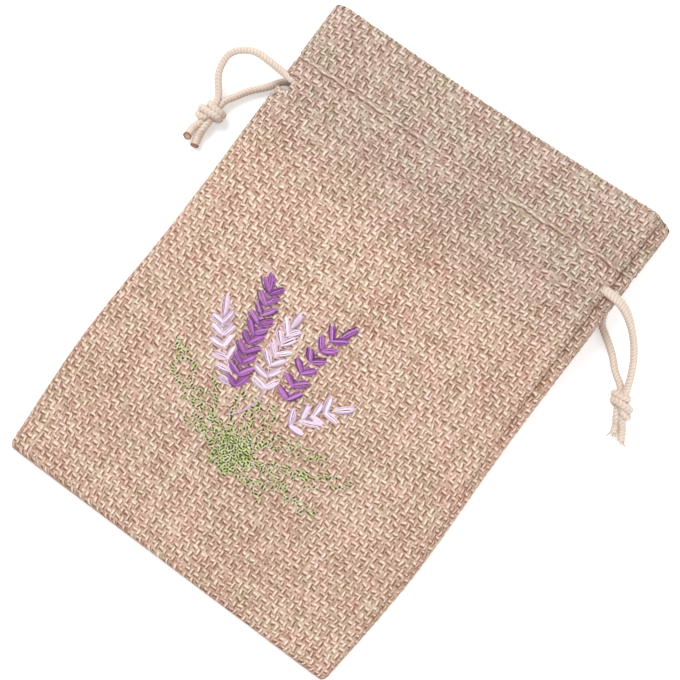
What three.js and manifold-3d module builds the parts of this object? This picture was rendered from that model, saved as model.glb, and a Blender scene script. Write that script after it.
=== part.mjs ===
// A lavender sachet: a small drawstring pouch of coarse woven cloth, filled with dried lavender.
// It lies on its back. X runs across the front, Y from the bottom seam to the mouth, Z up.
import * as THREE from 'three';
import { mergeVertices } from 'three/addons/utils/BufferGeometryUtils.js';
import Module from 'manifold-3d';

const wasm = await Module();
wasm.setup();

// Driving dimensions of the pouch, in millimetres
const pouchWidth = 100;
const pouchLength = 140;
const clothThickness = 0.6;
const layGap = 0.3;
const mouthGap = 4.5;
const bodyCrown = 5.5;
const bottomEdgeHeight = 3.6;
const bottomRound = 1.8;
const seamRoll = THREE.MathUtils.degToRad(60);

// Driving dimensions of the hem, its cord channel and the slits that the cords come out of
const collarHeight = 17;
const channelWidth = 10.5;
const hemTurning = 3;
const neckRunIn = 3.5;
const stitchDipReach = 1.2;
const channelFlank = 2;
const slitLength = 8.6;
const slitHalfAngle = THREE.MathUtils.degToRad(82);

// Driving dimensions of the cords, threads and seam allowances
const cordDiameter = 1.8;
const laneOffset = 1.9;
const threadDiameter = 0.5;
const threadRecess = 0.1;
const allowanceWidth = 6;
const seamInset = 0.4;
const knotLength = 7.6;
const knotHeight = 6.4;

// Driving dimensions of the embroidery and of the lavender inside
const petalLength = 4.6;
const petalWidth = 1.9;
const petalThickness = 0.9;
const petalSpread = THREE.MathUtils.degToRad(38);
const stemDiameter = 0.8;
const frondWidth = 2.2;
const frondThickness = 0.6;
const tuftLength = 7;
const tuftWidth = 4.6;
const fillStartInset = 9;
const fillEndInset = 3;

// Sizes that follow from the ones above
const halfWidth = pouchWidth / 2;
const bottomY = -pouchLength / 2;
const topY = pouchLength / 2;
const cordRadius = cordDiameter / 2;
const threadRadius = threadDiameter / 2;
const channelDepth = cordDiameter + 2 * layGap;
const wallStack = 2 * clothThickness + channelDepth;
const neckHeight = mouthGap + 2 * wallStack;
const neckRadius = neckHeight / 2;
const upperStitchY = topY - collarHeight;
const lowerStitchY = upperStitchY - channelWidth;
const channelY = (upperStitchY + lowerStitchY) / 2;
const facingEndY = lowerStitchY - hemTurning;
const neckStartY = facingEndY - neckRunIn;
const stitchDip = threadDiameter + layGap + threadRecess;
const runDepth = clothThickness + channelDepth / 2;
const seamEdgeHeight = 2 * clothThickness + layGap;
const allowanceThickness = 2 * clothThickness;
const allowanceEdge = halfWidth - clothThickness - 2 * layGap;

// Colours as the eye sees them on the cloth, cords and threads
const palette = {
  cloth: '#c9aa96',
  lining: '#b99b88',
  sewing: '#cdb6a2',
  cord: '#eadccb',
  violet: '#8e56ad',
  lilac: '#d9bfe2',
  leaf: '#8fa862',
  lavender: '#6f648c',
};

// Solids: joining and cutting
function solidOf(geometry) {
  const bare = geometry.clone();
  bare.deleteAttribute('normal');
  bare.deleteAttribute('uv');
  const merged = mergeVertices(bare);
  return new wasm.Manifold(new wasm.Mesh({
    numProp: 3,
    vertProperties: new Float32Array(merged.attributes.position.array),
    triVerts: new Uint32Array(merged.index.array),
  }));
}

function geometryOf(solid) {
  const mesh = solid.getMesh();
  const geometry = new THREE.BufferGeometry();
  geometry.setAttribute('position', new THREE.BufferAttribute(mesh.vertProperties, 3));
  geometry.setIndex(new THREE.BufferAttribute(mesh.triVerts, 1));
  geometry.computeVertexNormals();
  return geometry;
}

function joined(geometries) {
  const solids = geometries.map(solidOf);
  return solids.reduce((whole, next) => whole.add(next));
}

// A closed body from rings of points, with the two end rings capped by the same triangles
function ringBody(rings, capTriangles) {
  const count = rings[0].length;
  const points = rings.flat();
  const triangles = [];
  for (let ring = 0; ring < rings.length - 1; ring += 1) {
    for (let i = 0; i < count; i += 1) {
      const a = ring * count + i;
      const b = ring * count + (i + 1) % count;
      triangles.push([a, b, b + count], [a, b + count, a + count]);
    }
  }
  const last = (rings.length - 1) * count;
  for (const [a, b, c] of capTriangles) {
    triangles.push([a, c, b], [last + a, last + b, last + c]);
  }
  return outwardBody(points, triangles);
}

function outwardBody(points, triangles) {
  const cross = new THREE.Vector3();
  const volume = triangles.reduce((sum, [a, b, c]) => (
    sum + points[a].dot(cross.crossVectors(points[b], points[c]))
  ), 0);
  const facing = volume > 0 ? triangles : triangles.map(([a, b, c]) => [a, c, b]);
  const geometry = new THREE.BufferGeometry().setFromPoints(points);
  geometry.setIndex(facing.flat());
  geometry.computeVertexNormals();
  return geometry;
}

function fanTriangles(count) {
  return Array.from({ length: count - 2 }, (_, i) => [0, i + 1, i + 2]);
}

// The lying pouch: how high its side roll is, how far its bottom edge lifts and how its front swells
function smooth(t) {
  const s = THREE.MathUtils.clamp(t, 0, 1);
  return s * s * (3 - 2 * s);
}

function edgeHeight(y) {
  const intoBottom = (y - bottomY) / bottomRound;
  if (intoBottom < 1) {
    const rounding = Math.sqrt(Math.max(0, 1 - (1 - intoBottom) ** 2));
    return seamEdgeHeight + (bottomEdgeHeight - seamEdgeHeight) * rounding;
  }
  const alongBody = (y - bottomY - bottomRound) / (neckStartY - bottomY - bottomRound);
  return bottomEdgeHeight + (neckHeight - bottomEdgeHeight) * smooth(alongBody);
}

function baseLift(y) {
  return Math.max(0, (bottomEdgeHeight - edgeHeight(y)) / 2);
}

function crownAt(y) {
  const alongBody = THREE.MathUtils.clamp((y - bottomY) / (neckStartY - bottomY), 0, 1);
  return bodyCrown * Math.sin(Math.PI * alongBody) ** 2;
}

function frontHeight(x, y) {
  const radius = edgeHeight(y) / 2;
  const across = THREE.MathUtils.clamp(x / (halfWidth - radius), -1, 1);
  return baseLift(y) + 2 * radius + crownAt(y) * (1 + Math.cos(Math.PI * across)) / 2;
}

// A point of the cloth: on the front or back face, or on a side roll at an angle from straight out
function clothPoint(station, y, depth) {
  const radius = edgeHeight(y) / 2;
  const flatHalf = halfWidth - radius;
  if (station.face === 'front') {
    const x = station.across * flatHalf;
    return new THREE.Vector3(x, y, frontHeight(x, y) - depth);
  }
  if (station.face === 'back') {
    return new THREE.Vector3(station.across * flatHalf, y, baseLift(y) + depth);
  }
  const angle = station.angle + (station.opening ?? 0) * layGap / 2 / radius;
  const reach = radius - depth;
  const x = station.side * (flatHalf + reach * Math.cos(angle));
  return new THREE.Vector3(x, y, baseLift(y) + radius + reach * Math.sin(angle));
}

function faceStations(face, steps) {
  return Array.from({ length: steps + 1 }, (_, i) => ({ face, across: 1 - 2 * i / steps }));
}

function rollStations(side, degrees) {
  return degrees.map((angle) => ({ side, angle: THREE.MathUtils.degToRad(angle) }));
}

// The cut of a panel along its length: one cloth that runs up the outside, folds in at the mouth
// and comes back down inside as the facing of the cord channel
const foldRadius = clothThickness + layGap / 2;

function outerRows() {
  const rows = [];
  const bottomSteps = 4;
  for (let i = 0; i <= bottomSteps; i += 1) {
    rows.push([bottomY + bottomRound * (1 - Math.cos(i * Math.PI / 2 / bottomSteps)), 0]);
  }
  const bodySteps = 12;
  const bodyStart = bottomY + bottomRound;
  for (let i = 1; i <= bodySteps; i += 1) {
    rows.push([bodyStart + (neckStartY - bodyStart) * i / bodySteps, 0]);
  }
  for (const stitchY of [lowerStitchY, upperStitchY]) {
    rows.push([stitchY - stitchDipReach, 0], [stitchY, stitchDip], [stitchY + stitchDipReach, 0]);
  }
  rows.push([topY - foldRadius, 0]);
  return rows;
}

function facingRows() {
  const lying = clothThickness + layGap;
  const drawnIn = lying + stitchDip;
  const open = clothThickness + channelDepth;
  return [
    [upperStitchY + stitchDipReach, lying],
    [upperStitchY, drawnIn],
    [upperStitchY - channelFlank, open],
    [lowerStitchY + channelFlank, open],
    [lowerStitchY, drawnIn],
    [lowerStitchY - stitchDipReach, lying],
    [facingEndY, lying],
  ];
}

function foldRows(radius) {
  const steps = 4;
  return Array.from({ length: steps }, (_, i) => {
    const turn = (i + 1) * Math.PI / steps;
    return [topY - foldRadius + radius * Math.sin(turn), foldRadius - radius * Math.cos(turn)];
  });
}

function panel(stations) {
  const deeper = ([y, depth]) => [y, depth + clothThickness];
  const outside = [...outerRows(), ...foldRows(foldRadius), ...facingRows().map(deeper)];
  const inside = [...outerRows().map(deeper), ...foldRows(layGap / 2), ...facingRows()];
  const profile = [...outside, ...inside.reverse()];
  const rings = stations.map((station) => profile.map(([y, depth]) => clothPoint(station, y, depth)));
  const capTriangles = [];
  for (let i = 0; i < outside.length - 1; i += 1) {
    const across = profile.length - 1 - i;
    capTriangles.push([i, i + 1, across - 1], [i, across - 1, across]);
  }
  return solidOf(ringBody(rings, capTriangles));
}

// The side slits: the outer cloth is left open between the two channel stitches
function slitCutter(side) {
  const outerRadius = neckRadius + layGap;
  const innerRadius = neckRadius - clothThickness - layGap;
  const band = new THREE.Shape();
  band.absarc(0, 0, outerRadius, -slitHalfAngle, slitHalfAngle, false);
  band.absarc(0, 0, innerRadius, slitHalfAngle, -slitHalfAngle, true);
  const cutter = new THREE.ExtrudeGeometry(band, { depth: slitLength, bevelEnabled: false, curveSegments: 8 });
  cutter.rotateX(Math.PI / 2);
  if (side < 0) {
    cutter.rotateZ(Math.PI);
  }
  cutter.translate(side * (halfWidth - neckRadius), channelY + side * slitLength / 2, neckRadius);
  return solidOf(cutter);
}

function withSlits(solid) {
  return solid.subtract(slitCutter(1)).subtract(slitCutter(-1));
}

function frontPanel() {
  const stations = [
    { side: 1, angle: seamRoll, opening: 1 },
    ...faceStations('front', 12),
    ...rollStations(-1, [70, 50, 25, 0, -30]),
    { side: -1, angle: -seamRoll, opening: 1 },
  ];
  return geometryOf(withSlits(panel(stations)));
}

function backPanel() {
  const stations = [
    { side: 1, angle: seamRoll, opening: -1 },
    ...rollStations(1, [35, 0, -35, -70]),
    ...faceStations('back', 2),
    { side: -1, angle: -seamRoll, opening: -1 },
  ];
  return geometryOf(withSlits(panel(stations)));
}

// Seam allowances: the sewn edges of both cloths, turned inside, and the overlock thread on their edge
const bottomAllowanceStart = bottomY + clothThickness + seamInset;
const bottomAllowanceEnd = bottomAllowanceStart + allowanceWidth;
const bottomThreadY = bottomAllowanceEnd + layGap + threadRadius;
const sideAllowanceStart = bottomThreadY + threadRadius + layGap;
const sideAllowanceEnd = facingEndY - layGap;
const sideThreadX = allowanceEdge - allowanceWidth - layGap - threadRadius;

function middleHeight(y) {
  return baseLift(y) + edgeHeight(y) / 2;
}

function sideRows(steps) {
  const length = sideAllowanceEnd - sideAllowanceStart;
  return Array.from({ length: steps + 1 }, (_, i) => sideAllowanceStart + length * i / steps);
}

function sideAllowance(side) {
  const inner = side * (allowanceEdge - allowanceWidth);
  const outer = side * allowanceEdge;
  const rise = allowanceThickness / 2;
  const rings = sideRows(8).map((y) => [
    new THREE.Vector3(inner, y, middleHeight(y) - rise),
    new THREE.Vector3(outer, y, middleHeight(y) - rise),
    new THREE.Vector3(outer, y, middleHeight(y) + rise),
    new THREE.Vector3(inner, y, middleHeight(y) + rise),
  ]);
  return ringBody(rings, fanTriangles(4));
}

function bottomAllowance() {
  const strip = new THREE.BoxGeometry(2 * allowanceEdge, allowanceWidth, allowanceThickness);
  return strip.translate(0, bottomAllowanceStart + allowanceWidth / 2, bottomEdgeHeight / 2);
}

// Cords and threads: a round section drawn along a route
function tube(points, diameter, steps) {
  const route = new THREE.CatmullRomCurve3(points.map(([x, y, z]) => new THREE.Vector3(x, y, z)));
  const section = new THREE.Shape();
  section.absarc(0, 0, diameter / 2, 0, 2 * Math.PI, false);
  return new THREE.ExtrudeGeometry(section, { extrudePath: route, steps, curveSegments: 4, bevelEnabled: false });
}

function straightThread(length, diameter) {
  return new THREE.CylinderGeometry(diameter / 2, diameter / 2, length, 8).rotateZ(Math.PI / 2);
}

function sideThread(side) {
  const points = sideRows(8).map((y) => [side * sideThreadX, y, middleHeight(y)]);
  return tube(points, threadDiameter, 8);
}

function bottomThread() {
  return straightThread(2 * allowanceEdge, threadDiameter).translate(0, bottomThreadY, bottomEdgeHeight / 2);
}

// Channel stitches lie in the dips that they draw into the cloth
const stitchDepth = threadRecess + threadRadius;
const stitchLength = pouchWidth - neckHeight;

function channelStitch(face, stitchY) {
  const height = face === 'front' ? neckHeight - stitchDepth : stitchDepth;
  return straightThread(stitchLength, threadDiameter).translate(0, stitchY, height);
}

// Dried lavender: a flat cushion that rests on the back and fills the body up to the front
const fillHalfWidth = sideThreadX - threadRadius - layGap;
const fillStartY = sideAllowanceStart + fillStartInset - allowanceWidth;
const fillEndY = facingEndY - fillEndInset;

function lavenderFill() {
  const steps = 10;
  const bed = clothThickness + layGap;
  const points = [];
  const triangles = [];
  const index = (layer, i, j) => layer * (steps + 1) ** 2 + i * (steps + 1) + j;
  for (const layer of [0, 1]) {
    for (let i = 0; i <= steps; i += 1) {
      for (let j = 0; j <= steps; j += 1) {
        const u = 2 * i / steps - 1;
        const v = 2 * j / steps - 1;
        const x = fillHalfWidth * u * Math.sqrt(1 - v * v / 4);
        const y = (fillStartY + fillEndY) / 2 + (fillEndY - fillStartY) / 2 * v * Math.sqrt(1 - u * u / 4);
        const roof = frontHeight(x, y) - clothThickness - 2 * layGap;
        const fullness = Math.sqrt(Math.max(0, (1 - u ** 4) * (1 - v ** 4)));
        const edge = bed + cordRadius;
        const top = edge + (roof - edge) * fullness;
        const under = bed + (edge - bed) * (1 - fullness);
        points.push(new THREE.Vector3(x, y, layer ? top : under));
      }
    }
  }
  const rim = (i, j) => i === 0 || j === 0 || i === steps || j === steps;
  const at = (layer, i, j) => index(rim(i, j) ? 0 : layer, i, j);
  for (let i = 0; i < steps; i += 1) {
    for (let j = 0; j < steps; j += 1) {
      for (const layer of [0, 1]) {
        const [a, b, c, d] = [[i, j], [i + 1, j], [i + 1, j + 1], [i, j + 1]].map(([p, q]) => at(layer, p, q));
        const pair = layer ? [[a, b, c], [a, c, d]] : [[a, c, b], [a, d, c]];
        triangles.push(...pair);
      }
    }
  }
  return geometryOf(solidOf(outwardBody(points, triangles)));
}

// Drawstrings: each runs through the channel front and back, turns round at the far slit
// and comes out of its own slit as two strands, tied together in a doubled overhand knot
const drawstrings = {
  left: {
    side: -1,
    laneY: channelY - laneOffset,
    front: [
      [6.8, -0.2, 8.7], [11.9, -1.4, 6.2], [14.7, -4, 4.3], [14.4, -8.2, 3.4], [12.4, -12.2, 3.2], [10.6, -15.8, 3.3],
    ],
    back: [[3.2, -3, 1.5], [4.6, -7, 1.2], [6.6, -11.4, 1.7], [8.2, -14.2, 2.6], [8.3, -16.2, 3]],
    knot: { centre: [9.3, -18.2], turn: THREE.MathUtils.degToRad(90) },
    tails: [
      [[10.4, -20.4, 2], [10.5, -23.6, 1.2], [11.1, -26.7, 1]],
      [[8.2, -20.4, 2], [8.1, -24.2, 1.2], [7.7, -27.9, 1]],
    ],
  },
  right: {
    side: 1,
    laneY: channelY + laneOffset,
    front: [[5.2, -1.6, 9.1], [9.1, -4, 7.4], [13.3, -7.9, 4.8], [15.5, -13, 3.4], [18.2, -17.6, 3.4]],
    back: [
      [2.4, -3.4, 1.5], [3.8, -7.4, 1.2], [6.5, -9.6, 1.1], [10.7, -13.2, 1.5], [14.4, -16.4, 2.5], [16.2, -18.4, 3],
    ],
    knot: { centre: [18.2, -20], turn: THREE.MathUtils.degToRad(66) },
    tails: [
      [[18.1, -22.4, 2], [19.6, -25.4, 1.2], [20.4, -28.6, 1]],
      [[20.2, -21.6, 2], [22.4, -25.2, 1.2], [24.5, -29.4, 1]],
    ],
  },
};
const strandStart = cordRadius + layGap;
const runHeights = { front: neckHeight - runDepth, back: runDepth };
const knotLift = knotHeight / 2 + threadRecess;

function cordRun(string, layer) {
  const outerEnd = string.side * halfWidth;
  const innerEnd = -string.side * (halfWidth - neckRadius - layGap);
  const run = straightThread(Math.abs(outerEnd - innerEnd), cordDiameter);
  return run.translate((outerEnd + innerEnd) / 2, string.laneY, runHeights[layer]);
}

function cordBight(string) {
  const steps = 12;
  const reach = neckRadius - runDepth;
  const points = Array.from({ length: steps + 1 }, (_, i) => {
    const turn = Math.PI / 2 - Math.PI * i / steps;
    const x = halfWidth - neckRadius + reach * Math.cos(turn);
    return [-string.side * x, string.laneY, neckRadius + reach * Math.sin(turn)];
  });
  return tube(points, cordDiameter, steps);
}

// Places a point given outward from the slit and along Y from the lane
function loopPoint(string, [outward, along, height]) {
  return [string.side * (halfWidth + outward), string.laneY + along, height];
}

function knotSolid(string, growth) {
  const wrapReach = knotHeight / 2 - cordRadius;
  const [outward, along] = string.knot.centre;
  const wrapStep = (knotLength - cordDiameter) / 3;
  const core = new THREE.SphereGeometry(1, 8, 4);
  core.scale(knotLength / 2 + growth, wrapReach + growth, wrapReach + growth);
  const wraps = [-1, 0, 1].map((place) => {
    const wrap = new THREE.TorusGeometry(wrapReach, cordRadius + growth, 6, 12);
    wrap.rotateY(Math.PI / 2);
    wrap.rotateZ(place === 0 ? -0.35 : 0.3);
    return wrap.translate(place * wrapStep, 0, 0);
  });
  const whole = joined([core, ...wraps]);
  const geometry = geometryOf(whole);
  geometry.rotateZ(-string.side * string.knot.turn);
  const [x, y] = loopPoint(string, [outward, along, 0]);
  return solidOf(geometry.translate(x, y, knotLift));
}

function strand(string, layer) {
  const start = [strandStart, 0, runHeights[layer]];
  const points = [start, ...string[layer]].map((point) => loopPoint(string, point));
  const end = new THREE.SphereGeometry(cordRadius, 8, 6).translate(...points[0]);
  const whole = joined([tube(points, cordDiameter, 12), end]);
  return geometryOf(whole.subtract(knotSolid(string, layGap)));
}

function tail(string, number) {
  const points = string.tails[number].map((point) => loopPoint(string, point));
  return geometryOf(solidOf(tube(points, cordDiameter, 6)).subtract(knotSolid(string, layGap)));
}

// Embroidery: thread that lies on the front, as spikes of paired petals and a spray of leaves
function surfaceFrame(x, y, heading) {
  const step = 0.5;
  const along = new THREE.Vector3(Math.cos(heading), Math.sin(heading), 0);
  const ahead = frontHeight(x + step * along.x, y + step * along.y);
  const behind = frontHeight(x - step * along.x, y - step * along.y);
  along.z = (ahead - behind) / (2 * step);
  along.normalize();
  const sideways = new THREE.Vector3(-Math.sin(heading), Math.cos(heading), 0);
  const left = frontHeight(x + step * sideways.x, y + step * sideways.y);
  const right = frontHeight(x - step * sideways.x, y - step * sideways.y);
  sideways.z = (left - right) / (2 * step);
  const normal = new THREE.Vector3().crossVectors(along, sideways).normalize();
  sideways.crossVectors(normal, along);
  return { along, sideways, normal };
}

function petal(x, y, heading) {
  const { along, sideways, normal } = surfaceFrame(x, y, heading);
  const shape = new THREE.SphereGeometry(1, 5, 3).rotateZ(Math.PI / 2);
  shape.scale(petalLength / 2, petalWidth / 2, petalThickness / 2);
  const place = new THREE.Matrix4().makeBasis(along, sideways, normal);
  const lift = layGap + petalThickness / 2;
  place.setPosition(new THREE.Vector3(x, y, frontHeight(x, y)).addScaledVector(normal, lift));
  return shape.applyMatrix4(place);
}

function surfaceThread(points, diameter, steps) {
  const lift = layGap + diameter / 2;
  return tube(points.map(([x, y]) => [x, y, frontHeight(x, y) + lift]), diameter, steps);
}

const spikes = {
  lilac_spike_left: { tip: [-28.1, -8.2], base: [-14.6, -25], pairs: 6, colour: palette.lilac },
  violet_spike_left: { tip: [-22.1, 2], base: [-11.4, -22.4], pairs: 9, colour: palette.violet },
  lilac_spike_middle: { tip: [-10.4, -1.6], base: [-6.2, -20], pairs: 6, colour: palette.lilac },
  violet_spike_right: { tip: [2.9, 2.6], base: [-0.6, -19.4], pairs: 6, colour: palette.violet },
  lilac_spike_right: { tip: [13.6, -12.6], base: [3.6, -24.4], pairs: 4, colour: palette.lilac },
};
const trailingStem = [[-7.4, -25.5], [-10.4, -30.4]];
const petalReach = petalLength * 0.36;

function spike({ tip, base, pairs }, stemBelow = []) {
  const heading = Math.atan2(tip[1] - base[1], tip[0] - base[0]);
  const petals = [petal(tip[0], tip[1], heading)];
  for (let pair = 0; pair < pairs; pair += 1) {
    const share = (pair + 0.7) / pairs;
    const x = tip[0] + (base[0] - tip[0]) * share;
    const y = tip[1] + (base[1] - tip[1]) * share;
    for (const hand of [-1, 1]) {
      const lean = heading + hand * petalSpread;
      petals.push(petal(x + petalReach * Math.cos(lean), y + petalReach * Math.sin(lean), lean));
    }
  }
  const middle = [(tip[0] + base[0]) / 2, (tip[1] + base[1]) / 2];
  const stem = surfaceThread([tip, middle, base, ...stemBelow], stemDiameter, 8 + 3 * stemBelow.length);
  return geometryOf(joined([stem, ...petals]));
}

const tuftCentre = [-5, -39];
const frondTips = [
  { tip: [-32, -22.4], bow: -3 },
  { tip: [-19.5, -37.6], bow: 1 },
  { tip: [-2.8, -24.5], bow: -1 },
  { tip: [10.4, -26.6], bow: 1.5 },
  { tip: [23.8, -27.4], bow: -1.5 },
  { tip: [21.2, -38.4], bow: -1 },
];

function frond({ tip, bow }) {
  const steps = 7;
  const sides = 6;
  const start = new THREE.Vector2(...tuftCentre);
  const end = new THREE.Vector2(...tip);
  const run = end.clone().sub(start);
  const across = new THREE.Vector2(-run.y, run.x).normalize();
  const rings = Array.from({ length: steps + 1 }, (_, i) => {
    const share = i / steps;
    const spot = start.clone().addScaledVector(run, share).addScaledVector(across, bow * Math.sin(Math.PI * share));
    const wide = frondWidth / 2 * (1 - 0.75 * share ** 3);
    return Array.from({ length: sides }, (__, k) => {
      const turn = 2 * Math.PI * k / sides;
      const place = spot.clone().addScaledVector(across, wide * Math.cos(turn));
      const lift = layGap + frondThickness / 2 * (1 + Math.sin(turn));
      return new THREE.Vector3(place.x, place.y, frontHeight(place.x, place.y) + lift);
    });
  });
  return ringBody(rings, fanTriangles(sides));
}

function leafSpray() {
  const [x, y] = tuftCentre;
  const { along, sideways, normal } = surfaceFrame(x, y, 0);
  const tuft = new THREE.SphereGeometry(1, 10, 6).scale(tuftLength / 2, tuftWidth / 2, petalThickness / 2);
  const place = new THREE.Matrix4().makeBasis(along, sideways, normal);
  const lift = layGap + petalThickness / 2;
  place.setPosition(new THREE.Vector3(x, y, frontHeight(x, y)).addScaledVector(normal, lift));
  return geometryOf(joined([tuft.applyMatrix4(place), ...frondTips.map(frond)]));
}

// The assembly
const sachet = new THREE.Group();

function addPiece(name, geometry, colour) {
  const material = new THREE.MeshStandardMaterial({ color: colour, roughness: 0.9, metalness: 0 });
  const mesh = new THREE.Mesh(geometry, material);
  mesh.name = name;
  sachet.add(mesh);
}

addPiece('front_panel', frontPanel(), palette.cloth);
addPiece('back_panel', backPanel(), palette.cloth);
addPiece('left_seam_allowance', sideAllowance(-1), palette.lining);
addPiece('right_seam_allowance', sideAllowance(1), palette.lining);
addPiece('bottom_seam_allowance', bottomAllowance(), palette.lining);
addPiece('left_overlock_thread', sideThread(-1), palette.sewing);
addPiece('right_overlock_thread', sideThread(1), palette.sewing);
addPiece('bottom_overlock_thread', bottomThread(), palette.sewing);
for (const face of ['front', 'back']) {
  addPiece(`${face}_upper_channel_stitch`, channelStitch(face, upperStitchY), palette.sewing);
  addPiece(`${face}_lower_channel_stitch`, channelStitch(face, lowerStitchY), palette.sewing);
}
addPiece('dried_lavender_fill', lavenderFill(), palette.lavender);

for (const [name, flower] of Object.entries(spikes)) {
  const stemBelow = name === 'lilac_spike_middle' ? trailingStem : [];
  addPiece(name, spike(flower, stemBelow), flower.colour);
}
addPiece('leaf_spray', leafSpray(), palette.leaf);

for (const [name, string] of Object.entries(drawstrings)) {
  addPiece(`${name}_cord_bight`, cordBight(string), palette.cord);
  for (const layer of ['front', 'back']) {
    addPiece(`${name}_cord_${layer}_run`, cordRun(string, layer), palette.cord);
    addPiece(`${name}_cord_${layer}_strand`, strand(string, layer), palette.cord);
  }
  addPiece(`${name}_knot`, geometryOf(knotSolid(string, 0)), palette.cord);
  string.tails.forEach((_, number) => {
    addPiece(`${name}_tail_${number + 1}`, tail(string, number), palette.cord);
  });
}

export default sachet;
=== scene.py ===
import math
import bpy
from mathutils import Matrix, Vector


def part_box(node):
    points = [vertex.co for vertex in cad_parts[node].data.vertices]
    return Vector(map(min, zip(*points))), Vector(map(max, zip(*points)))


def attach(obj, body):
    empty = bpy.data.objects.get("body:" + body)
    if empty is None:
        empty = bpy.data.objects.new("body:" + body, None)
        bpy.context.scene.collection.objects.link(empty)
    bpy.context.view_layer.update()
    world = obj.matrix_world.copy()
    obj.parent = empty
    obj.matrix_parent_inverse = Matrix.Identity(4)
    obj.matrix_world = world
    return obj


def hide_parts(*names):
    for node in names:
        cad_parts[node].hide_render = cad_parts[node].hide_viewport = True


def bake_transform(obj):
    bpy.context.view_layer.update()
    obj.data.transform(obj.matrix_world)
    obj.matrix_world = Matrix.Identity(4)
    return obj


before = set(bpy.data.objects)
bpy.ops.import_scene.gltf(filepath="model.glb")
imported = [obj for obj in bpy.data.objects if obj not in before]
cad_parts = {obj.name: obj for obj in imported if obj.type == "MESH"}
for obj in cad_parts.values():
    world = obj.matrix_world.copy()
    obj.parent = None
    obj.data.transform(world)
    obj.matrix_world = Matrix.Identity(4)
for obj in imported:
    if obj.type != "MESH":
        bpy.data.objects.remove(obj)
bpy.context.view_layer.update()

from types import SimpleNamespace

import bpy
import numpy as np

bl_info = {
    "name": "Lavender sachet",
    "version": (1, 0, 0),
    "blender": (4, 5, 0),
    "location": "3D View > Sidebar > Sachet",
    "description": "Builds a woven drawstring sachet with an embroidered lavender sprig and its filling",
    "category": "Add Mesh",
}

PANEL_LOW, PANEL_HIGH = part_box("front_panel")
MM = 0.001
SEED = 7


# Colours

def linear(text):
    """The linear colour of an sRGB hex value such as #d4b6a4."""
    parts = [int(text[i:i + 2], 16) / 255 for i in (1, 3, 5)]
    return tuple(p / 12.92 if p <= 0.04045 else ((p + 0.055) / 1.055) ** 2.4 for p in parts)


def opaque(colour):
    """A colour property as the four numbers that a colour socket takes."""
    return (*colour, 1.0)


# What a user would change

def length_property(name, description, default):
    """A length property, in metres."""
    return bpy.props.FloatProperty(name=name, description=description, default=default, unit="LENGTH")


class SachetSizes(bpy.types.PropertyGroup):
    """Sizes of the sachet."""

    width: length_property("Width", "Pouch from side to side", PANEL_HIGH[0] - PANEL_LOW[0])
    length: length_property("Length", "Pouch from bottom seam to mouth", PANEL_HIGH[1] - PANEL_LOW[1])
    neck_height: length_property("Neck height", "Thickness of the end that holds the cords", 0.0117)
    bottom_height: length_property("Bottom height", "Thickness along the bottom seam", 0.0036)
    crown: length_property("Crown", "How far the filling lifts the middle of the front", 0.0055)
    warp_spacing: length_property("Warp spacing", "Distance between yarns along the pouch", 0.00138)
    weft_spacing: length_property("Weft spacing", "Distance between yarns across the pouch", 0.00163)
    cord_diameter: length_property("Cord diameter", "Thickness of the braided drawstring", 0.0018)
    braid_pitch: length_property("Braid pitch", "Distance between the ribs of the braid", 0.0009)
    petal_length: length_property("Petal length", "Length of one satin stitch petal", 0.0042)
    petal_width: length_property("Petal width", "Width of one satin stitch petal", 0.0019)


def colour_property(name, description, text):
    """A colour property whose default is an sRGB hex value."""
    return bpy.props.FloatVectorProperty(
        name=name, description=description, default=linear(text),
        size=3, min=0.0, max=1.0, subtype="COLOR")


class SachetColours(bpy.types.PropertyGroup):
    """Colours of the sachet."""

    # Painted highlight on the yarn crests; also the palest loose fibres of the frayed cord
    yarn_light: colour_property("Yarn, light", "Crests of the yarns", "#f0e4da")
    yarn_middle: colour_property("Yarn, middle", "Most of the cloth", "#c3aa9b")
    # Mostly painted shade, on the sides of the yarns and beside their crests
    yarn_dark: colour_property("Yarn, dark", "Sides of the yarns", "#a38370")
    ground: colour_property("Ground", "Shaded cloth seen between the yarns", "#7a5a48")
    # The braid's pale ribs are painted highlight and its dark furrows painted shade
    cord_light: colour_property("Cord, light", "Raised ribs of the braid", "#ddcec0")
    cord_middle: colour_property("Cord, middle", "Most of the braid", "#cfb9a9")
    cord_shade: colour_property("Cord, shade", "Furrows of the braid", "#a08472")
    cord_seared: colour_property("Cord, seared", "Heat-sealed cord ends", "#8f5f40")
    thread: colour_property("Sewing thread", "Channel stitches and overlock", "#e6d3c2")
    # Violet and lilac: the palest of each is painted highlight on a petal's middle threads, the darkest
    # painted shade on its outer threads
    violet: colour_property("Violet", "Lit threads of the dark flower spikes", "#d08fd4")
    violet_middle: colour_property("Violet, middle", "Most of the dark flower spikes", "#ac60b2")
    violet_dark: colour_property("Violet, dark", "Sides of the violet threads", "#5a2464")
    lilac: colour_property("Lilac", "Lit threads of the pale flower spikes", "#fdedfa")
    lilac_middle: colour_property("Lilac, middle", "Most of the pale flower spikes", "#ebd2e6")
    lilac_dark: colour_property("Lilac, dark", "Sides of the lilac threads", "#a787a2")
    leaf: colour_property("Leaf", "Pale threads of the leaf fronds", "#e6dfbc")
    leaf_middle: colour_property("Leaf, middle", "Green threads of the leaf tuft", "#bbd170")
    # Painted shade of the needle holes in the leaf stitches
    leaf_dark: colour_property("Leaf, dark", "Needle holes in the leaf stitches", "#2b2c0a")
    bud: colour_property("Dried bud", "Dried lavender buds", "#7d7393")
    # Also the darkest painted shade of the ground sheet under the yarns
    bud_dark: colour_property("Dried bud, dark", "Withered parts of the buds", "#5b5a4a")
    floor: colour_property("Floor", "Pale floor under the sachet", "#f4f4f4")


# Small helpers for numbers

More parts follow.
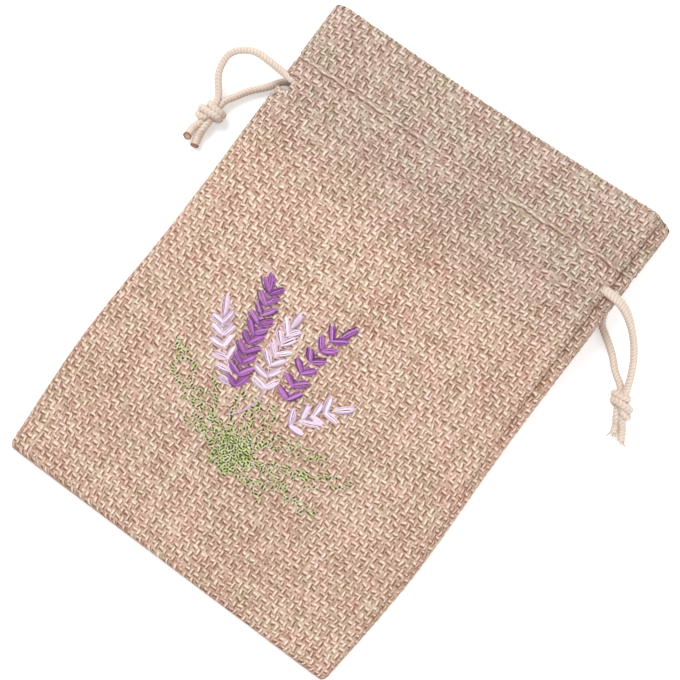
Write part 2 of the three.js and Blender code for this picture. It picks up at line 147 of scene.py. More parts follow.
def smooth(value):
    """Eases from 0 to 1 as value goes from 0 to 1."""
    held = np.clip(value, 0.0, 1.0)
    return held * held * (3.0 - 2.0 * held)


def unit(vectors):
    """Vectors of length one in the same directions."""
    return vectors / np.maximum(np.linalg.norm(vectors, axis=-1, keepdims=True), 1e-9)


def evenly(points, count):
    """The same line with count points at equal steps."""
    steps = np.linalg.norm(np.diff(points, axis=0), axis=1)
    reach = np.concatenate([[0.0], np.cumsum(steps)])
    wanted = np.linspace(0.0, reach[-1], count)
    return np.stack([np.interp(wanted, reach, points[:, k]) for k in range(points.shape[1])], axis=1)


def line_length(points):
    """Length of a line of points."""
    return float(np.linalg.norm(np.diff(points, axis=0), axis=1).sum())


# How much a spline's pace follows the distance between its points, and how finely it is drawn
SPLINE_EASE = 0.75
SPLINE_STEPS = 40


def smooth_line(points, count):
    """A natural cubic spline through the points, with count points at equal steps."""
    points = np.asarray(points, float)
    steps = np.linalg.norm(np.diff(points, axis=0), axis=1) ** SPLINE_EASE
    reach = np.concatenate([[0.0], np.cumsum(steps)])
    total = len(points)
    gap = np.diff(reach)
    system = np.eye(total)
    right = np.zeros_like(points)
    for i in range(1, total - 1):
        system[i, i - 1] = gap[i - 1]
        system[i, i] = 2.0 * (gap[i - 1] + gap[i])
        system[i, i + 1] = gap[i]
        after = (points[i + 1] - points[i]) / gap[i]
        before = (points[i] - points[i - 1]) / gap[i - 1]
        right[i] = 6.0 * (after - before)
    bend = np.linalg.solve(system, right)
    fine = np.linspace(0.0, reach[-1], SPLINE_STEPS * total)
    k = np.clip(np.searchsorted(reach, fine, side="right") - 1, 0, total - 2)
    ahead = ((reach[k + 1] - fine) / gap[k])[:, None]
    behind = ((fine - reach[k]) / gap[k])[:, None]
    pull = gap[k][:, None] ** 2 / 6.0
    curve = ahead * points[k] + behind * points[k + 1]
    curve += pull * ((ahead ** 3 - ahead) * bend[k] + (behind ** 3 - behind) * bend[k + 1])
    return evenly(curve, count)


def relaxed(points, times):
    """The points with each one drawn towards its neighbours a number of times, the ends held."""
    points = points.copy()
    for _ in range(times):
        points[1:-1] = (points[:-2] + 2.0 * points[1:-1] + points[2:]) / 4.0
    return points


def slow_noise(random, rows, samples, cells):
    """Rows of smooth noise from -1 to 1, with that many cells along each row."""
    knots = random.uniform(-1.0, 1.0, (rows, cells + 2))
    place = np.linspace(0.0, cells, samples)
    first = np.floor(place).astype(int)
    share = smooth(place - first)
    return knots[:, first] * (1.0 - share) + knots[:, first + 1] * share


# Small helpers for meshes

def make_piece(name, points, quads, material, attributes=None, uv=None, rounded=True):
    """A mesh object from points in millimetres and rows of four corner numbers."""
    mesh = bpy.data.meshes.new(name)
    points = np.asarray(points, np.float64).reshape(-1, 3) * MM
    quads = np.asarray(quads, np.int32).reshape(-1, 4)
    used, first = np.unique(quads, return_inverse=True)
    points = points[used]
    quads = first.reshape(-1, 4).astype(np.int32)
    mesh.vertices.add(len(points))
    mesh.vertices.foreach_set("co", points.astype(np.float32).ravel())
    mesh.loops.add(quads.size)
    mesh.loops.foreach_set("vertex_index", quads.ravel())
    mesh.polygons.add(len(quads))
    mesh.polygons.foreach_set("loop_start", np.arange(0, quads.size, 4, dtype=np.int32))
    mesh.polygons.foreach_set("use_smooth", np.full(len(quads), rounded))
    mesh.update(calc_edges=True)
    for label, values in (attributes or {}).items():
        values = np.asarray(values, np.float32)[used]
        kind, field = ("FLOAT_VECTOR", "vector") if values.ndim == 2 else ("FLOAT", "value")
        layer = mesh.attributes.new(label, kind, "POINT")
        layer.data.foreach_set(field, values.ravel())
    if uv is not None:
        layer = mesh.uv_layers.new(name="OFBake")
        layer.data.foreach_set("uv", np.asarray(uv, np.float32).ravel())
    mesh.validate()
    mesh.materials.append(material)
    piece = bpy.data.objects.new(name, mesh)
    bpy.context.scene.collection.objects.link(piece)
    return piece


def tube_numbers(count, along, around):
    """For every quad of count tubes, the numbers of its tube, its ring and its side."""
    return np.meshgrid(np.arange(count), np.arange(along - 1), np.arange(around), indexing="ij")


def tube_quads(count, along, around):
    """Corner numbers of count tubes, each with rings of around points."""
    tube, ring, side = tube_numbers(count, along, around)
    nxt = (side + 1) % around
    base = tube * along * around
    low = base + ring * around
    high = low + around
    return np.stack([low + side, low + nxt, high + nxt, high + side], axis=-1).reshape(-1, 4)


STRIP_MARGIN = 0.04
STRIP_WIDTH = 1.0 - 2.0 * STRIP_MARGIN


def tube_uv(count, along, around):
    """A map that lays each tube out as its own strip, in the order of tube_quads."""
    tube, ring, side = tube_numbers(count, along, around)
    low = (tube + STRIP_MARGIN + STRIP_WIDTH * side / around) / count
    high = (tube + STRIP_MARGIN + STRIP_WIDTH * (side + 1) / around) / count
    left = ring / (along - 1)
    right = (ring + 1) / (along - 1)
    corners = [(left, low), (left, high), (right, high), (right, low)]
    return np.stack([np.stack(c, axis=-1) for c in corners], axis=-2).reshape(-1, 2)


def closed_shell(outer, inner, cut):
    """Two grids of points joined round their edges into one thin closed shell, without the cut points."""
    rows, columns = cut.shape
    number = np.arange(rows * columns).reshape(rows, columns)
    quad = np.stack([number[:-1, :-1], number[:-1, 1:], number[1:, 1:], number[1:, :-1]], axis=-1)
    gone = cut[:-1, :-1] & cut[:-1, 1:] & cut[1:, 1:] & cut[1:, :-1]
    top = quad[~gone]
    bottom = top[:, ::-1] + rows * columns
    edges = np.concatenate([top[:, [k, (k + 1) % 4]] for k in range(4)]).tolist()
    known = {(a, b) for a, b in edges}
    rim = [(b, a, a + rows * columns, b + rows * columns) for a, b in edges if (b, a) not in known]
    points = np.concatenate([outer.reshape(-1, 3), inner.reshape(-1, 3)])
    return points, np.concatenate([top, bottom, np.array(rim)])


UP = np.array([0.0, 0.0, 1.0])
ALONG = np.array([0.0, 1.0, 0.0])
STEEP = 0.9


def carried_frames(line):
    """Two directions across a line at each point, carried along it without twisting."""
    ahead = unit(np.gradient(line, axis=0))
    side = np.zeros_like(line)
    start = UP if abs(ahead[0][2]) < STEEP else ALONG
    side[0] = unit(np.cross(ahead[0], start))
    for i in range(1, len(line)):
        side[i] = unit(side[i - 1] - ahead[i] * (side[i - 1] @ ahead[i]))
    return side, np.cross(ahead, side)


THREAD_SIDES = 6


def round_thread(line, radius, around=THREAD_SIDES):
    """Rings of a tube round a line, where radius may change from point to point."""
    side, up = carried_frames(line)
    angle = np.linspace(0.0, 2.0 * np.pi, around, endpoint=False)
    wide = np.broadcast_to(np.asarray(radius, float), (len(line),))
    across = side[:, None] * np.cos(angle)[None, :, None] + up[:, None] * np.sin(angle)[None, :, None]
    return line[:, None] + across * wide[:, None, None]


def thread_piece(name, tubes, material, shade):
    """One mesh of many equal tubes: each point knows its turn round, its run along and its tube's shade."""
    tubes = np.asarray(tubes)
    count, along, around = tubes.shape[:3]
    tone = np.repeat(np.asarray(shade, float), along * around)
    run = np.linalg.norm(np.diff(tubes.mean(axis=2), axis=1), axis=2)
    run = np.concatenate([np.zeros((count, 1)), np.cumsum(run, axis=1)], axis=1)
    place = np.empty((count, along, around, 3))
    place[..., 0] = np.arange(around) / around
    place[..., 1] = run[:, :, None]
    place[..., 2] = tone.reshape(count, along, around)
    return make_piece(name, tubes, tube_quads(count, along, around), material,
                      {"yarn": place.reshape(-1, 3)}, tube_uv(count, along, around))


# Materials

def add_node(tree, kind, values=None, stops=None, **settings):
    """Adds one node, with its settings, its ramp stops, and its sockets set or linked."""
    node = tree.nodes.new(kind)
    for name, value in settings.items():
        setattr(node, name, value)
    for place, colour in (stops or {}).items():
        if place in (0.0, 1.0):
            node.color_ramp.elements[int(place)].color = opaque(colour)
        else:
            node.color_ramp.elements.new(place).color = opaque(colour)
    for socket, value in (values or {}).items():
        if isinstance(value, bpy.types.NodeSocket):
            tree.links.new(value, node.inputs[socket])
        else:
            node.inputs[socket].default_value = value
    return node


def new_material(name, roughness, sheen=0.0):
    """A new material with a principled shader, given back with its node tree and that shader."""
    material = bpy.data.materials.new(name)
    material.use_nodes = True
    tree = material.node_tree
    tree.nodes.clear()
    shader = add_node(tree, "ShaderNodeBsdfPrincipled", {
        "Roughness": roughness, "Specular IOR Level": 0.3, "Sheen Weight": sheen, "Sheen Roughness": 0.5})
    add_node(tree, "ShaderNodeOutputMaterial", {"Surface": shader.outputs["BSDF"]})
    return material, tree, shader


# Sockets of a node that mixes two colours
MIX_SHARE = 0
MIX_FIRST = 6
MIX_SECOND = 7
MIX_RESULT = 2


def dress(tree, shader, colour, relief):
    """Gives a shader its colour and its relief."""
    tree.links.new(colour, shader.inputs["Base Color"])
    tree.links.new(relief.outputs["Normal"], shader.inputs["Normal"])


# Painted light and shade on a yarn, as shares of the way round it: a highlight along its crest, a shade
# line beside it, and shade on its sides
CREST = 0.3
CREST_SWAY = 0.24
CREST_LEAN = 0.16
CREST_EDGE = (0.006, 0.028)
SHADE_LINE_ASIDE = 0.07
SHADE_LINE_EDGE = (0.006, 0.03)
FACE_EDGE = (0.095, 0.125)
# What lightens or darkens a yarn, as shares of its colour ramp; the highlight, the shade line and the side
# shade among them are painted light and shade
HIGHLIGHT_GAIN = 0.95
SHADE_LINE_LOSS = -0.88
SIDE_SHADE_LOSS = -0.36
FIBRE_GAIN = 0.42
OWN_GAIN = 0.32
DARKEST = 0.14
GLEAM_EDGE = (0.36, 0.62)
DULL_TO_SHINY = (0.05, 1.15)
# Where the cast of the neck begins and where it is full, in millimetres along the pouch
NECK_CAST = (24.0, 46.0)


def woven_burlap(colours):
    """Plain-woven burlap: flat tan yarns in uneven tints, with a painted highlight along a narrow crest and
    painted shade beside it and on their sides.
    """
    material, tree, shader = new_material("woven_burlap_yarn", 0.9, sheen=0.05)
    yarn = add_node(tree, "ShaderNodeAttribute", attribute_name="yarn")
    rise = add_node(tree, "ShaderNodeAttribute", attribute_name="rise")
    parts = add_node(tree, "ShaderNodeSeparateXYZ", {"Vector": yarn.outputs["Vector"]})
    # Bundles of fibre about 0.6 mm wide and 0.8 mm long, with finer fibres in them, turned by the twist
    twist = add_node(tree, "ShaderNodeMapping", {
        "Vector": yarn.outputs["Vector"], "Rotation": (0.0, 0.0, 0.2), "Scale": (11.0, 1.3, 0.0)})
    fibre = add_node(tree, "ShaderNodeTexNoise", {
        "Vector": twist.outputs["Vector"], "Scale": 1.0, "Detail": 3.0, "Roughness": 0.6})
    # The painted highlight wanders from side to side of the yarn's crest every 5 mm or so, leaning to the
    # lit side
    path = add_node(tree, "ShaderNodeMapping", {
        "Vector": yarn.outputs["Vector"], "Scale": (0.0, 0.2, 0.0)})
    wander = add_node(tree, "ShaderNodeTexNoise", {"Vector": path.outputs["Vector"], "Scale": 1.0})
    middle = add_node(tree, "ShaderNodeMath", {
        0: wander.outputs["Fac"], 1: CREST_SWAY, 2: CREST - CREST_LEAN}, operation="MULTIPLY_ADD")
    aside = add_node(tree, "ShaderNodeMath", {0: parts.outputs["X"], 1: middle.outputs["Value"]},
                     operation="SUBTRACT")
    away = add_node(tree, "ShaderNodeMath", {0: aside.outputs["Value"]}, operation="ABSOLUTE")
    crest = add_node(tree, "ShaderNodeMapRange", {
        "Value": away.outputs["Value"], "From Min": CREST_EDGE[0], "From Max": CREST_EDGE[1],
        "To Min": 1.0, "To Max": 0.0}, interpolation_type="SMOOTHSTEP")
    # The painted highlight is strong on some floats and faint on others, changing every 1.7 mm or so
    floats = add_node(tree, "ShaderNodeMapping", {
        "Vector": yarn.outputs["Vector"], "Location": (0.0, 7.0, 0.0), "Scale": (0.0, 0.6, 0.0)})
    gleam = add_node(tree, "ShaderNodeTexNoise", {"Vector": floats.outputs["Vector"], "Scale": 1.0})
    shine = add_node(tree, "ShaderNodeMapRange", {
        "Value": gleam.outputs["Fac"], "From Min": GLEAM_EDGE[0], "From Max": GLEAM_EDGE[1],
        "To Min": DULL_TO_SHINY[0], "To Max": DULL_TO_SHINY[1]})
    shown = add_node(tree, "ShaderNodeMath", {0: crest.outputs["Result"], 1: shine.outputs["Result"]},
                     operation="MULTIPLY")
    # Painted shade: a dark line beside the highlight on the yarn's unlit side, which fades with the
    # highlight
    beside = add_node(tree, "ShaderNodeMath", {0: aside.outputs["Value"], 1: SHADE_LINE_ASIDE},
                      operation="SUBTRACT")
    apart = add_node(tree, "ShaderNodeMath", {0: beside.outputs["Value"]}, operation="ABSOLUTE")
    shade_line = add_node(tree, "ShaderNodeMapRange", {
        "Value": apart.outputs["Value"], "From Min": SHADE_LINE_EDGE[0], "From Max": SHADE_LINE_EDGE[1],
        "To Min": 1.0, "To Max": 0.0}, interpolation_type="SMOOTHSTEP")
    # Painted shade on the yarn's sides, where they fall away from its flat face
    centred = add_node(tree, "ShaderNodeMath", {0: parts.outputs["X"], 1: CREST}, operation="SUBTRACT")
    outward = add_node(tree, "ShaderNodeMath", {0: centred.outputs["Value"]}, operation="ABSOLUTE")
    edge = add_node(tree, "ShaderNodeMapRange", {
        "Value": outward.outputs["Value"], "From Min": FACE_EDGE[0], "From Max": FACE_EDGE[1]},
        interpolation_type="SMOOTHSTEP")
    # All of these add up to how pale the yarn is at a point
    bright = add_node(tree, "ShaderNodeMath", {0: shown.outputs["Value"], 1: rise.outputs["Fac"]},
                      operation="MULTIPLY")
    shade_shown = add_node(tree, "ShaderNodeMath", {0: shade_line.outputs["Result"], 1: shine.outputs["Result"]},
                    operation="MULTIPLY")
    shares = ((fibre.outputs["Fac"], FIBRE_GAIN), (parts.outputs["Z"], OWN_GAIN),
              (bright.outputs["Value"], HIGHLIGHT_GAIN), (edge.outputs["Result"], SIDE_SHADE_LOSS),
              (shade_shown.outputs["Value"], SHADE_LINE_LOSS))
    sum_so_far = DARKEST
    for socket, gain in shares:
        added = add_node(tree, "ShaderNodeMath", {0: socket, 1: gain, 2: sum_so_far},
                         operation="MULTIPLY_ADD")
        sum_so_far = added.outputs["Value"]
    colour = add_node(tree, "ShaderNodeValToRGB", {"Fac": sum_so_far}, {
        0.0: colours.ground, 1.0: colours.yarn_light,
        0.22: colours.yarn_dark, 0.5: colours.yarn_middle})
    place = add_node(tree, "ShaderNodeTexCoord")
    # Dye lots of the jute show as pink and khaki patches about 5 mm across
    patch = add_node(tree, "ShaderNodeTexNoise", {
        "Vector": place.outputs["Object"], "Scale": 1.0 / (5.0 * MM), "Detail": 1.5})
    tint = add_node(tree, "ShaderNodeValToRGB", {"Fac": patch.outputs["Fac"]}, {
        0.0: linear("#ffe6df"), 1.0: linear("#f3f4e0"), 0.42: linear("#fff4f0"), 0.58: linear("#fcf8f0")})
    dyed = add_node(tree, "ShaderNodeMix", {
        MIX_SHARE: 1.0, MIX_FIRST: colour.outputs["Color"], MIX_SECOND: tint.outputs["Color"]},
        data_type="RGBA", blend_type="MULTIPLY")
    # Towards the mouth the cloth has a greyer cast
    height = add_node(tree, "ShaderNodeSeparateXYZ", {"Vector": place.outputs["Object"]})
    near_mouth = add_node(tree, "ShaderNodeMapRange", {
        "Value": height.outputs["Y"], "From Min": NECK_CAST[0] * MM, "From Max": NECK_CAST[1] * MM})
    greyed = add_node(tree, "ShaderNodeMix", {
        MIX_SHARE: near_mouth.outputs["Result"], MIX_FIRST: dyed.outputs[MIX_RESULT],
        MIX_SECOND: opaque(linear("#edf4f7"))}, data_type="RGBA", blend_type="MULTIPLY")
    relief = add_node(tree, "ShaderNodeBump", {
        "Height": fibre.outputs["Fac"], "Strength": 0.6, "Distance": 0.14 * MM})
    dress(tree, shader, greyed.outputs[MIX_RESULT], relief)
    return material


def shaded_ground(colours):
    """Painted shade under the yarns: a dark brown, dull sheet of fibre, seen only between them."""
    material, tree, shader = new_material("burlap_ground_painted_shade", 0.95)
    place = add_node(tree, "ShaderNodeTexCoord")
    # Tufts of fibre about 0.7 mm across
    tuft = add_node(tree, "ShaderNodeTexNoise", {
        "Vector": place.outputs["Object"], "Scale": 1.0 / (0.7 * MM), "Detail": 3.0})
    colour = add_node(tree, "ShaderNodeValToRGB", {"Fac": tuft.outputs["Fac"]}, {
        0.0: colours.bud_dark, 1.0: colours.yarn_dark, 0.5: colours.ground})
    relief = add_node(tree, "ShaderNodeBump", {
        "Height": tuft.outputs["Fac"], "Strength": 0.6, "Distance": 0.2 * MM})
    dress(tree, shader, colour.outputs["Color"], relief)
    return material


def braided_cotton(colours):
    """Round braided cotton cord: painted highlight on its raised ribs and painted shade in its furrows,
    seared brown where it was heat-sealed.
    """
    material, tree, shader = new_material("braided_cotton_cord", 0.8, sheen=0.15)
    braid = add_node(tree, "ShaderNodeAttribute", attribute_name="braid")
    parts = add_node(tree, "ShaderNodeSeparateXYZ", {"Vector": braid.outputs["Vector"]})
    place = add_node(tree, "ShaderNodeTexCoord")
    # Single cotton threads about 0.25 mm across
    fibre = add_node(tree, "ShaderNodeTexNoise", {
        "Vector": place.outputs["Object"], "Scale": 1.0 / (0.25 * MM), "Detail": 2.0})
    # Painted light and shade from how high the braid stands: pale on its ribs, dark in its furrows
    tone = add_node(tree, "ShaderNodeMath", {0: fibre.outputs["Fac"], 1: 0.3, 2: parts.outputs["X"]},
                    operation="MULTIPLY_ADD")
    colour = add_node(tree, "ShaderNodeValToRGB", {"Fac": tone.outputs["Value"]}, {
        0.0: colours.cord_shade, 1.0: colours.cord_light, 0.45: colours.cord_middle})
    seared = add_node(tree, "ShaderNodeMix", {
        MIX_SHARE: parts.outputs["Z"], MIX_FIRST: colour.outputs["Color"],
        MIX_SECOND: opaque(colours.cord_seared)}, data_type="RGBA")
    relief = add_node(tree, "ShaderNodeBump", {
        "Height": fibre.outputs["Fac"], "Strength": 0.35, "Distance": 0.08 * MM})
    dress(tree, shader, seared.outputs[MIX_RESULT], relief)
    return material


def spun_thread(name, dark, middle, light, roughness, ply):
    """Twisted thread: fine slanting plies and a soft sheen, lighter or darker from thread to thread."""
    material, tree, shader = new_material(name, roughness, sheen=0.25)
    yarn = add_node(tree, "ShaderNodeAttribute", attribute_name="yarn")
    parts = add_node(tree, "ShaderNodeSeparateXYZ", {"Vector": yarn.outputs["Vector"]})
    # Plies slant across the thread, one every 1.3 times ply millimetres or so
    slant = add_node(tree, "ShaderNodeMapping", {
        "Vector": yarn.outputs["Vector"], "Scale": (1.0, 1.0 / ply, 0.0)})
    plies = add_node(tree, "ShaderNodeTexWave", {
        "Vector": slant.outputs["Vector"], "Scale": 0.5, "Distortion": 0.6, "Detail": 1.0},
        bands_direction="DIAGONAL")
    tone = add_node(tree, "ShaderNodeMath", {0: plies.outputs["Fac"], 1: 0.3, 2: parts.outputs["Z"]},
                    operation="MULTIPLY_ADD")
    colour = add_node(tree, "ShaderNodeValToRGB", {"Fac": tone.outputs["Value"]}, {
        0.0: dark, 1.0: light, 0.55: middle})
    relief = add_node(tree, "ShaderNodeBump", {
        "Height": plies.outputs["Fac"], "Strength": 0.3, "Distance": 0.06 * MM})
    dress(tree, shader, colour.outputs["Color"], relief)
    return material


def dried_buds(colours):
    """Dried lavender buds: wrinkled grey-violet cups, some of them withered to brown-green."""
    material, tree, shader = new_material("dried_lavender_buds", 0.8)
    bud = add_node(tree, "ShaderNodeAttribute", attribute_name="yarn")
    parts = add_node(tree, "ShaderNodeSeparateXYZ", {"Vector": bud.outputs["Vector"]})
    # Wrinkles, about nine round a bud, each about 0.1 mm long
    ribs = add_node(tree, "ShaderNodeTexNoise", {
        "Vector": bud.outputs["Vector"], "Scale": 9.0, "Detail": 2.0})
    tone = add_node(tree, "ShaderNodeMath", {0: ribs.outputs["Fac"], 1: 0.5, 2: parts.outputs["Z"]},
                    operation="MULTIPLY_ADD")
    colour = add_node(tree, "ShaderNodeValToRGB", {"Fac": tone.outputs["Value"]}, {
        0.0: colours.bud_dark, 1.0: colours.bud})
    relief = add_node(tree, "ShaderNodeBump", {
        "Height": ribs.outputs["Fac"], "Strength": 0.5, "Distance": 0.2 * MM})
    dress(tree, shader, colour.outputs["Color"], relief)
    return material


def seen_share(tree):
    """Is 1 where the camera sees something directly, in gloss or through glass, and 0 elsewhere."""
    ray = add_node(tree, "ShaderNodeLightPath")
    seen = add_node(tree, "ShaderNodeMath", {
        0: ray.outputs["Is Camera Ray"], 1: ray.outputs["Is Glossy Ray"]}, operation="MAXIMUM")
    shown = add_node(tree, "ShaderNodeMath", {
        0: seen.outputs["Value"], 1: ray.outputs["Is Transmission Ray"]}, operation="MAXIMUM")
    return shown.outputs["Value"]


FLOOR_GLOW = 0.35


def pale_floor(colours):
    """Matt white paper floor: white to the camera, and it still takes the soft shadow."""
    material = bpy.data.materials.new("matt_white_paper")
    material.use_nodes = True
    tree = material.node_tree
    tree.nodes.clear()
    place = add_node(tree, "ShaderNodeTexCoord")
    # Paper tooth about 2 mm across
    tooth = add_node(tree, "ShaderNodeTexNoise", {
        "Vector": place.outputs["Object"], "Scale": 1.0 / (2.0 * MM)})
    relief = add_node(tree, "ShaderNodeBump", {
        "Height": tooth.outputs["Fac"], "Strength": 0.05, "Distance": 0.1 * MM})
    paper = add_node(tree, "ShaderNodeBsdfDiffuse", {
        "Color": opaque(colours.floor), "Normal": relief.outputs["Normal"]})
    lift = add_node(tree, "ShaderNodeMath", {0: seen_share(tree), 1: FLOOR_GLOW}, operation="MULTIPLY")
    glow = add_node(tree, "ShaderNodeEmission", {"Strength": lift.outputs["Value"]})
    both = add_node(tree, "ShaderNodeAddShader", {0: paper.outputs["BSDF"], 1: glow.outputs["Emission"]})
    add_node(tree, "ShaderNodeOutputMaterial", {"Surface": both.outputs["Shader"]})
    return material


def stored(name, maker, *values, **finish):
    """The material of that name, made once."""
    found = bpy.data.materials.get(name)
    return found if found else maker(*values, **finish)


def sewing_thread(colours):
    """The matt spun thread of the seams and the channel stitches."""
    return stored("spun_sewing_thread", spun_thread, "spun_sewing_thread",
                  colours.yarn_dark, colours.yarn_middle, colours.thread, roughness=0.7, ply=0.5)


# Settings of the scene, and the pouch that most pieces are sewn to

def settings(context):
    """The measures and the colours that the scene is set to."""
    return measures(context.scene.sachet_sizes), context.scene.sachet_colours


def on_pouch(piece, slot, *nodes):
    """Sets a piece on the pouch, in place of the solids that it stands for; the slot is not used."""
    if nodes:
        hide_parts(*nodes)
    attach(piece, "pouch")


# Form of the pouch, in millimetres

LEFT_SEAM = -60.0
# The right seam's angle round the side roll, in degrees, at places along the pouch
SEAM_PATH = ((-70.0, 20.0), (-60.0, 42.0), (-45.0, 58.0), (-20.0, 55.0),
             (0.0, 57.0), (30.0, 61.0), (70.0, 63.0))
# How far each corner of the lying pouch is out of square
CORNERS = {(-1, 1): (0.05, -1.3), (1, 1): (2.0, 3.52), (-1, -1): (-0.8, 0.05), (1, -1): (-1.36, -1.24)}
MOUTH_CORNER_FROM = (0.86, 0.9)
MOUTH_CORNER_DROP = 1.5
BOTTOM_CORNER = 1.2
BULGE = 2.0
BULGE_PLACE = -0.52
BULGE_REACH = 0.42
MOUTH_HOLLOW = 0.8
MOUTH_SINK = 0.9
LUMP_HEIGHT = 0.16
CREASE_HEIGHT = 0.3
FILLED_FROM_SEAM = 9.0
SEAM_PINCH = 1.3
SEAM_PINCH_REACH = 1.3
BOTTOM_PINCH_SHARE = 0.35
LEFT_PINCH_SHARE = 0.3
PINCH_GROWS = (-25.0, 20.0)
FULL_WALL_RADIUS = 1.5
STITCH_DIP_REACH = 0.75
CHANNEL_MARGIN = 0.6
CHANNEL_FLANK = 2.0
CHANNEL_ROOM = 1.15
LEFT_LANE = 45.85
RIGHT_LANE = 49.65
RIGHT_SLIT = 47.0
# How far the cloth's edge is laid open at each slit, in degrees round the side roll
LEFT_OPENING = 127.0
RIGHT_OPENING = 125.0
LIP_OPENING = 24.0
SLIT_TRIM = 0.5
SLIT_LEAST = 1.0
QUARTER = math.pi / 2


def measures(sizes):
    """The sizes in millimetres, with what follows from them."""
    m = SimpleNamespace()
    m.half_width = sizes.width / MM / 2
    m.half_length = sizes.length / MM / 2
    m.neck = sizes.neck_height / MM
    m.bottom = sizes.bottom_height / MM
    m.crown = sizes.crown / MM
    m.neck_y = 36.0
    m.end_round = 1.8
    m.end_height = 1.2
    m.upper_stitch = 53.0
    m.lower_stitch = 42.5
    m.stitch_dip = 0.65
    m.ground_depth = 0.85
    m.fold_radius = 0.5
    m.fold_y = m.half_length - 1.35
    m.facing_end = 39.5
    m.yarn_height = 0.42
    m.yarn_swing = 0.2
    m.yarn_half = 0.25
    m.fold_start = m.fold_y + m.half_length
    m.fold_run = math.pi * (m.fold_radius + m.yarn_height)
    m.cloth_run = m.fold_start + m.fold_run + m.fold_y - m.facing_end
    m.rows = round(2 * m.half_length / (sizes.weft_spacing / MM))
    m.weft_step = 2 * m.half_length / m.rows
    m.all_rows = int(m.cloth_run / m.weft_step)
    m.warps = round(1.05 * 2 * m.half_width / (sizes.warp_spacing / MM))
    m.warp_step = sizes.warp_spacing / MM
    m.cord = sizes.cord_diameter / MM
    m.pitch = sizes.braid_pitch / MM
    m.petal_length = sizes.petal_length / MM
    m.petal_width = sizes.petal_width / MM
    return m


def edge_height(m, y):
    """Thickness of the pouch at its sides, closing to the bottom seam."""
    full_from = m.end_round - m.half_length
    rise = smooth((y - full_from) / (m.neck_y - full_from))
    height = m.bottom + (m.neck - m.bottom) * rise
    u = np.clip((y + m.half_length) / m.end_round, 0.0, 1.0)
    closing = m.end_height + (m.bottom - m.end_height) * np.sqrt(1.0 - (1.0 - u) ** 2)
    return np.where(u < 1.0, closing, height)


def front_swell(m, x, y, half):
    """How far the filling lifts the front, with the small lumps of the buds under it."""
    span = m.neck_y + m.half_length
    along = np.clip((y + m.half_length) / span, 0.0, 1.0)
    swell = np.sin(np.pi * along) ** 2
    across = (1.0 + np.cos(np.pi * np.clip(x / half, -1.0, 1.0))) / 2.0
    # Lumps about 15 mm wide, and creases about 50 mm long
    lumps = np.sin(x / 5.3 + 1.3 * np.sin(y / 7.1)) * np.sin(y / 4.7 + np.sin(x / 9.0 + 0.6))
    creases = np.sin(x / 14.0 + 0.5) * np.sin(y / 19.0 + 0.9)
    uneven = LUMP_HEIGHT * lumps + CREASE_HEIGHT * creases
    held = np.clip(1.0 - np.abs(x / half) ** 4, 0.0, 1.0)
    filled = smooth((y + m.half_length) / FILLED_FROM_SEAM)
    mouth = smooth((y - m.upper_stitch) / (m.half_length - m.upper_stitch))
    return m.crown * swell * across + held * filled * uneven - MOUTH_SINK * mouth * across


def seam_angle(y):
    """Angle of the right seam round the side roll: on the front, but towards the edge at the bottom."""
    heights, angles = zip(*SEAM_PATH)
    return np.interp(y, heights, angles)


def seam_pinch(y, away):
    """How far a seam draws the cloth in, at a distance from it: deep at the neck, faint at the bottom."""
    grown = smooth((y - PINCH_GROWS[0]) / (PINCH_GROWS[1] - PINCH_GROWS[0]))
    share = BOTTOM_PINCH_SHARE + (1.0 - BOTTOM_PINCH_SHARE) * grown
    return SEAM_PINCH * share * np.exp(-((away / SEAM_PINCH_REACH) ** 2))


def panel_arc(m, panel, y):
    """Width of a panel measured round the cloth."""
    r = edge_height(m, y) / 2
    turn = np.radians(LEFT_SEAM + seam_angle(y))
    both = np.pi - turn if panel == "front" else np.pi + turn
    return r * both + 2.0 * (m.half_width - r)


def lie(m, x, y, z):
    """The pouch as it lies: corners a little out of square, lower half spread, mouth slightly hollow."""
    u = x / m.half_width
    v = y / m.half_length
    shift = np.zeros(x.shape + (2,))
    for (side, end), pull in CORNERS.items():
        share = (1.0 + side * u) * (1.0 + end * v) / 4.0
        shift += share[..., None] * np.array(pull)
    corner = 1.0
    for way, start in zip((u, v), MOUTH_CORNER_FROM):
        corner = corner * smooth((way - start) / (1.0 - start))
    spread = BULGE * u * np.exp(-(((v - BULGE_PLACE) / BULGE_REACH) ** 2))
    hollow = MOUTH_HOLLOW * (1.0 - u ** 2) * smooth(v)
    lying_x = x + shift[..., 0] + spread
    lying_y = y + shift[..., 1] - MOUTH_CORNER_DROP * corner - hollow
    return np.stack([lying_x, lying_y, z], axis=-1)


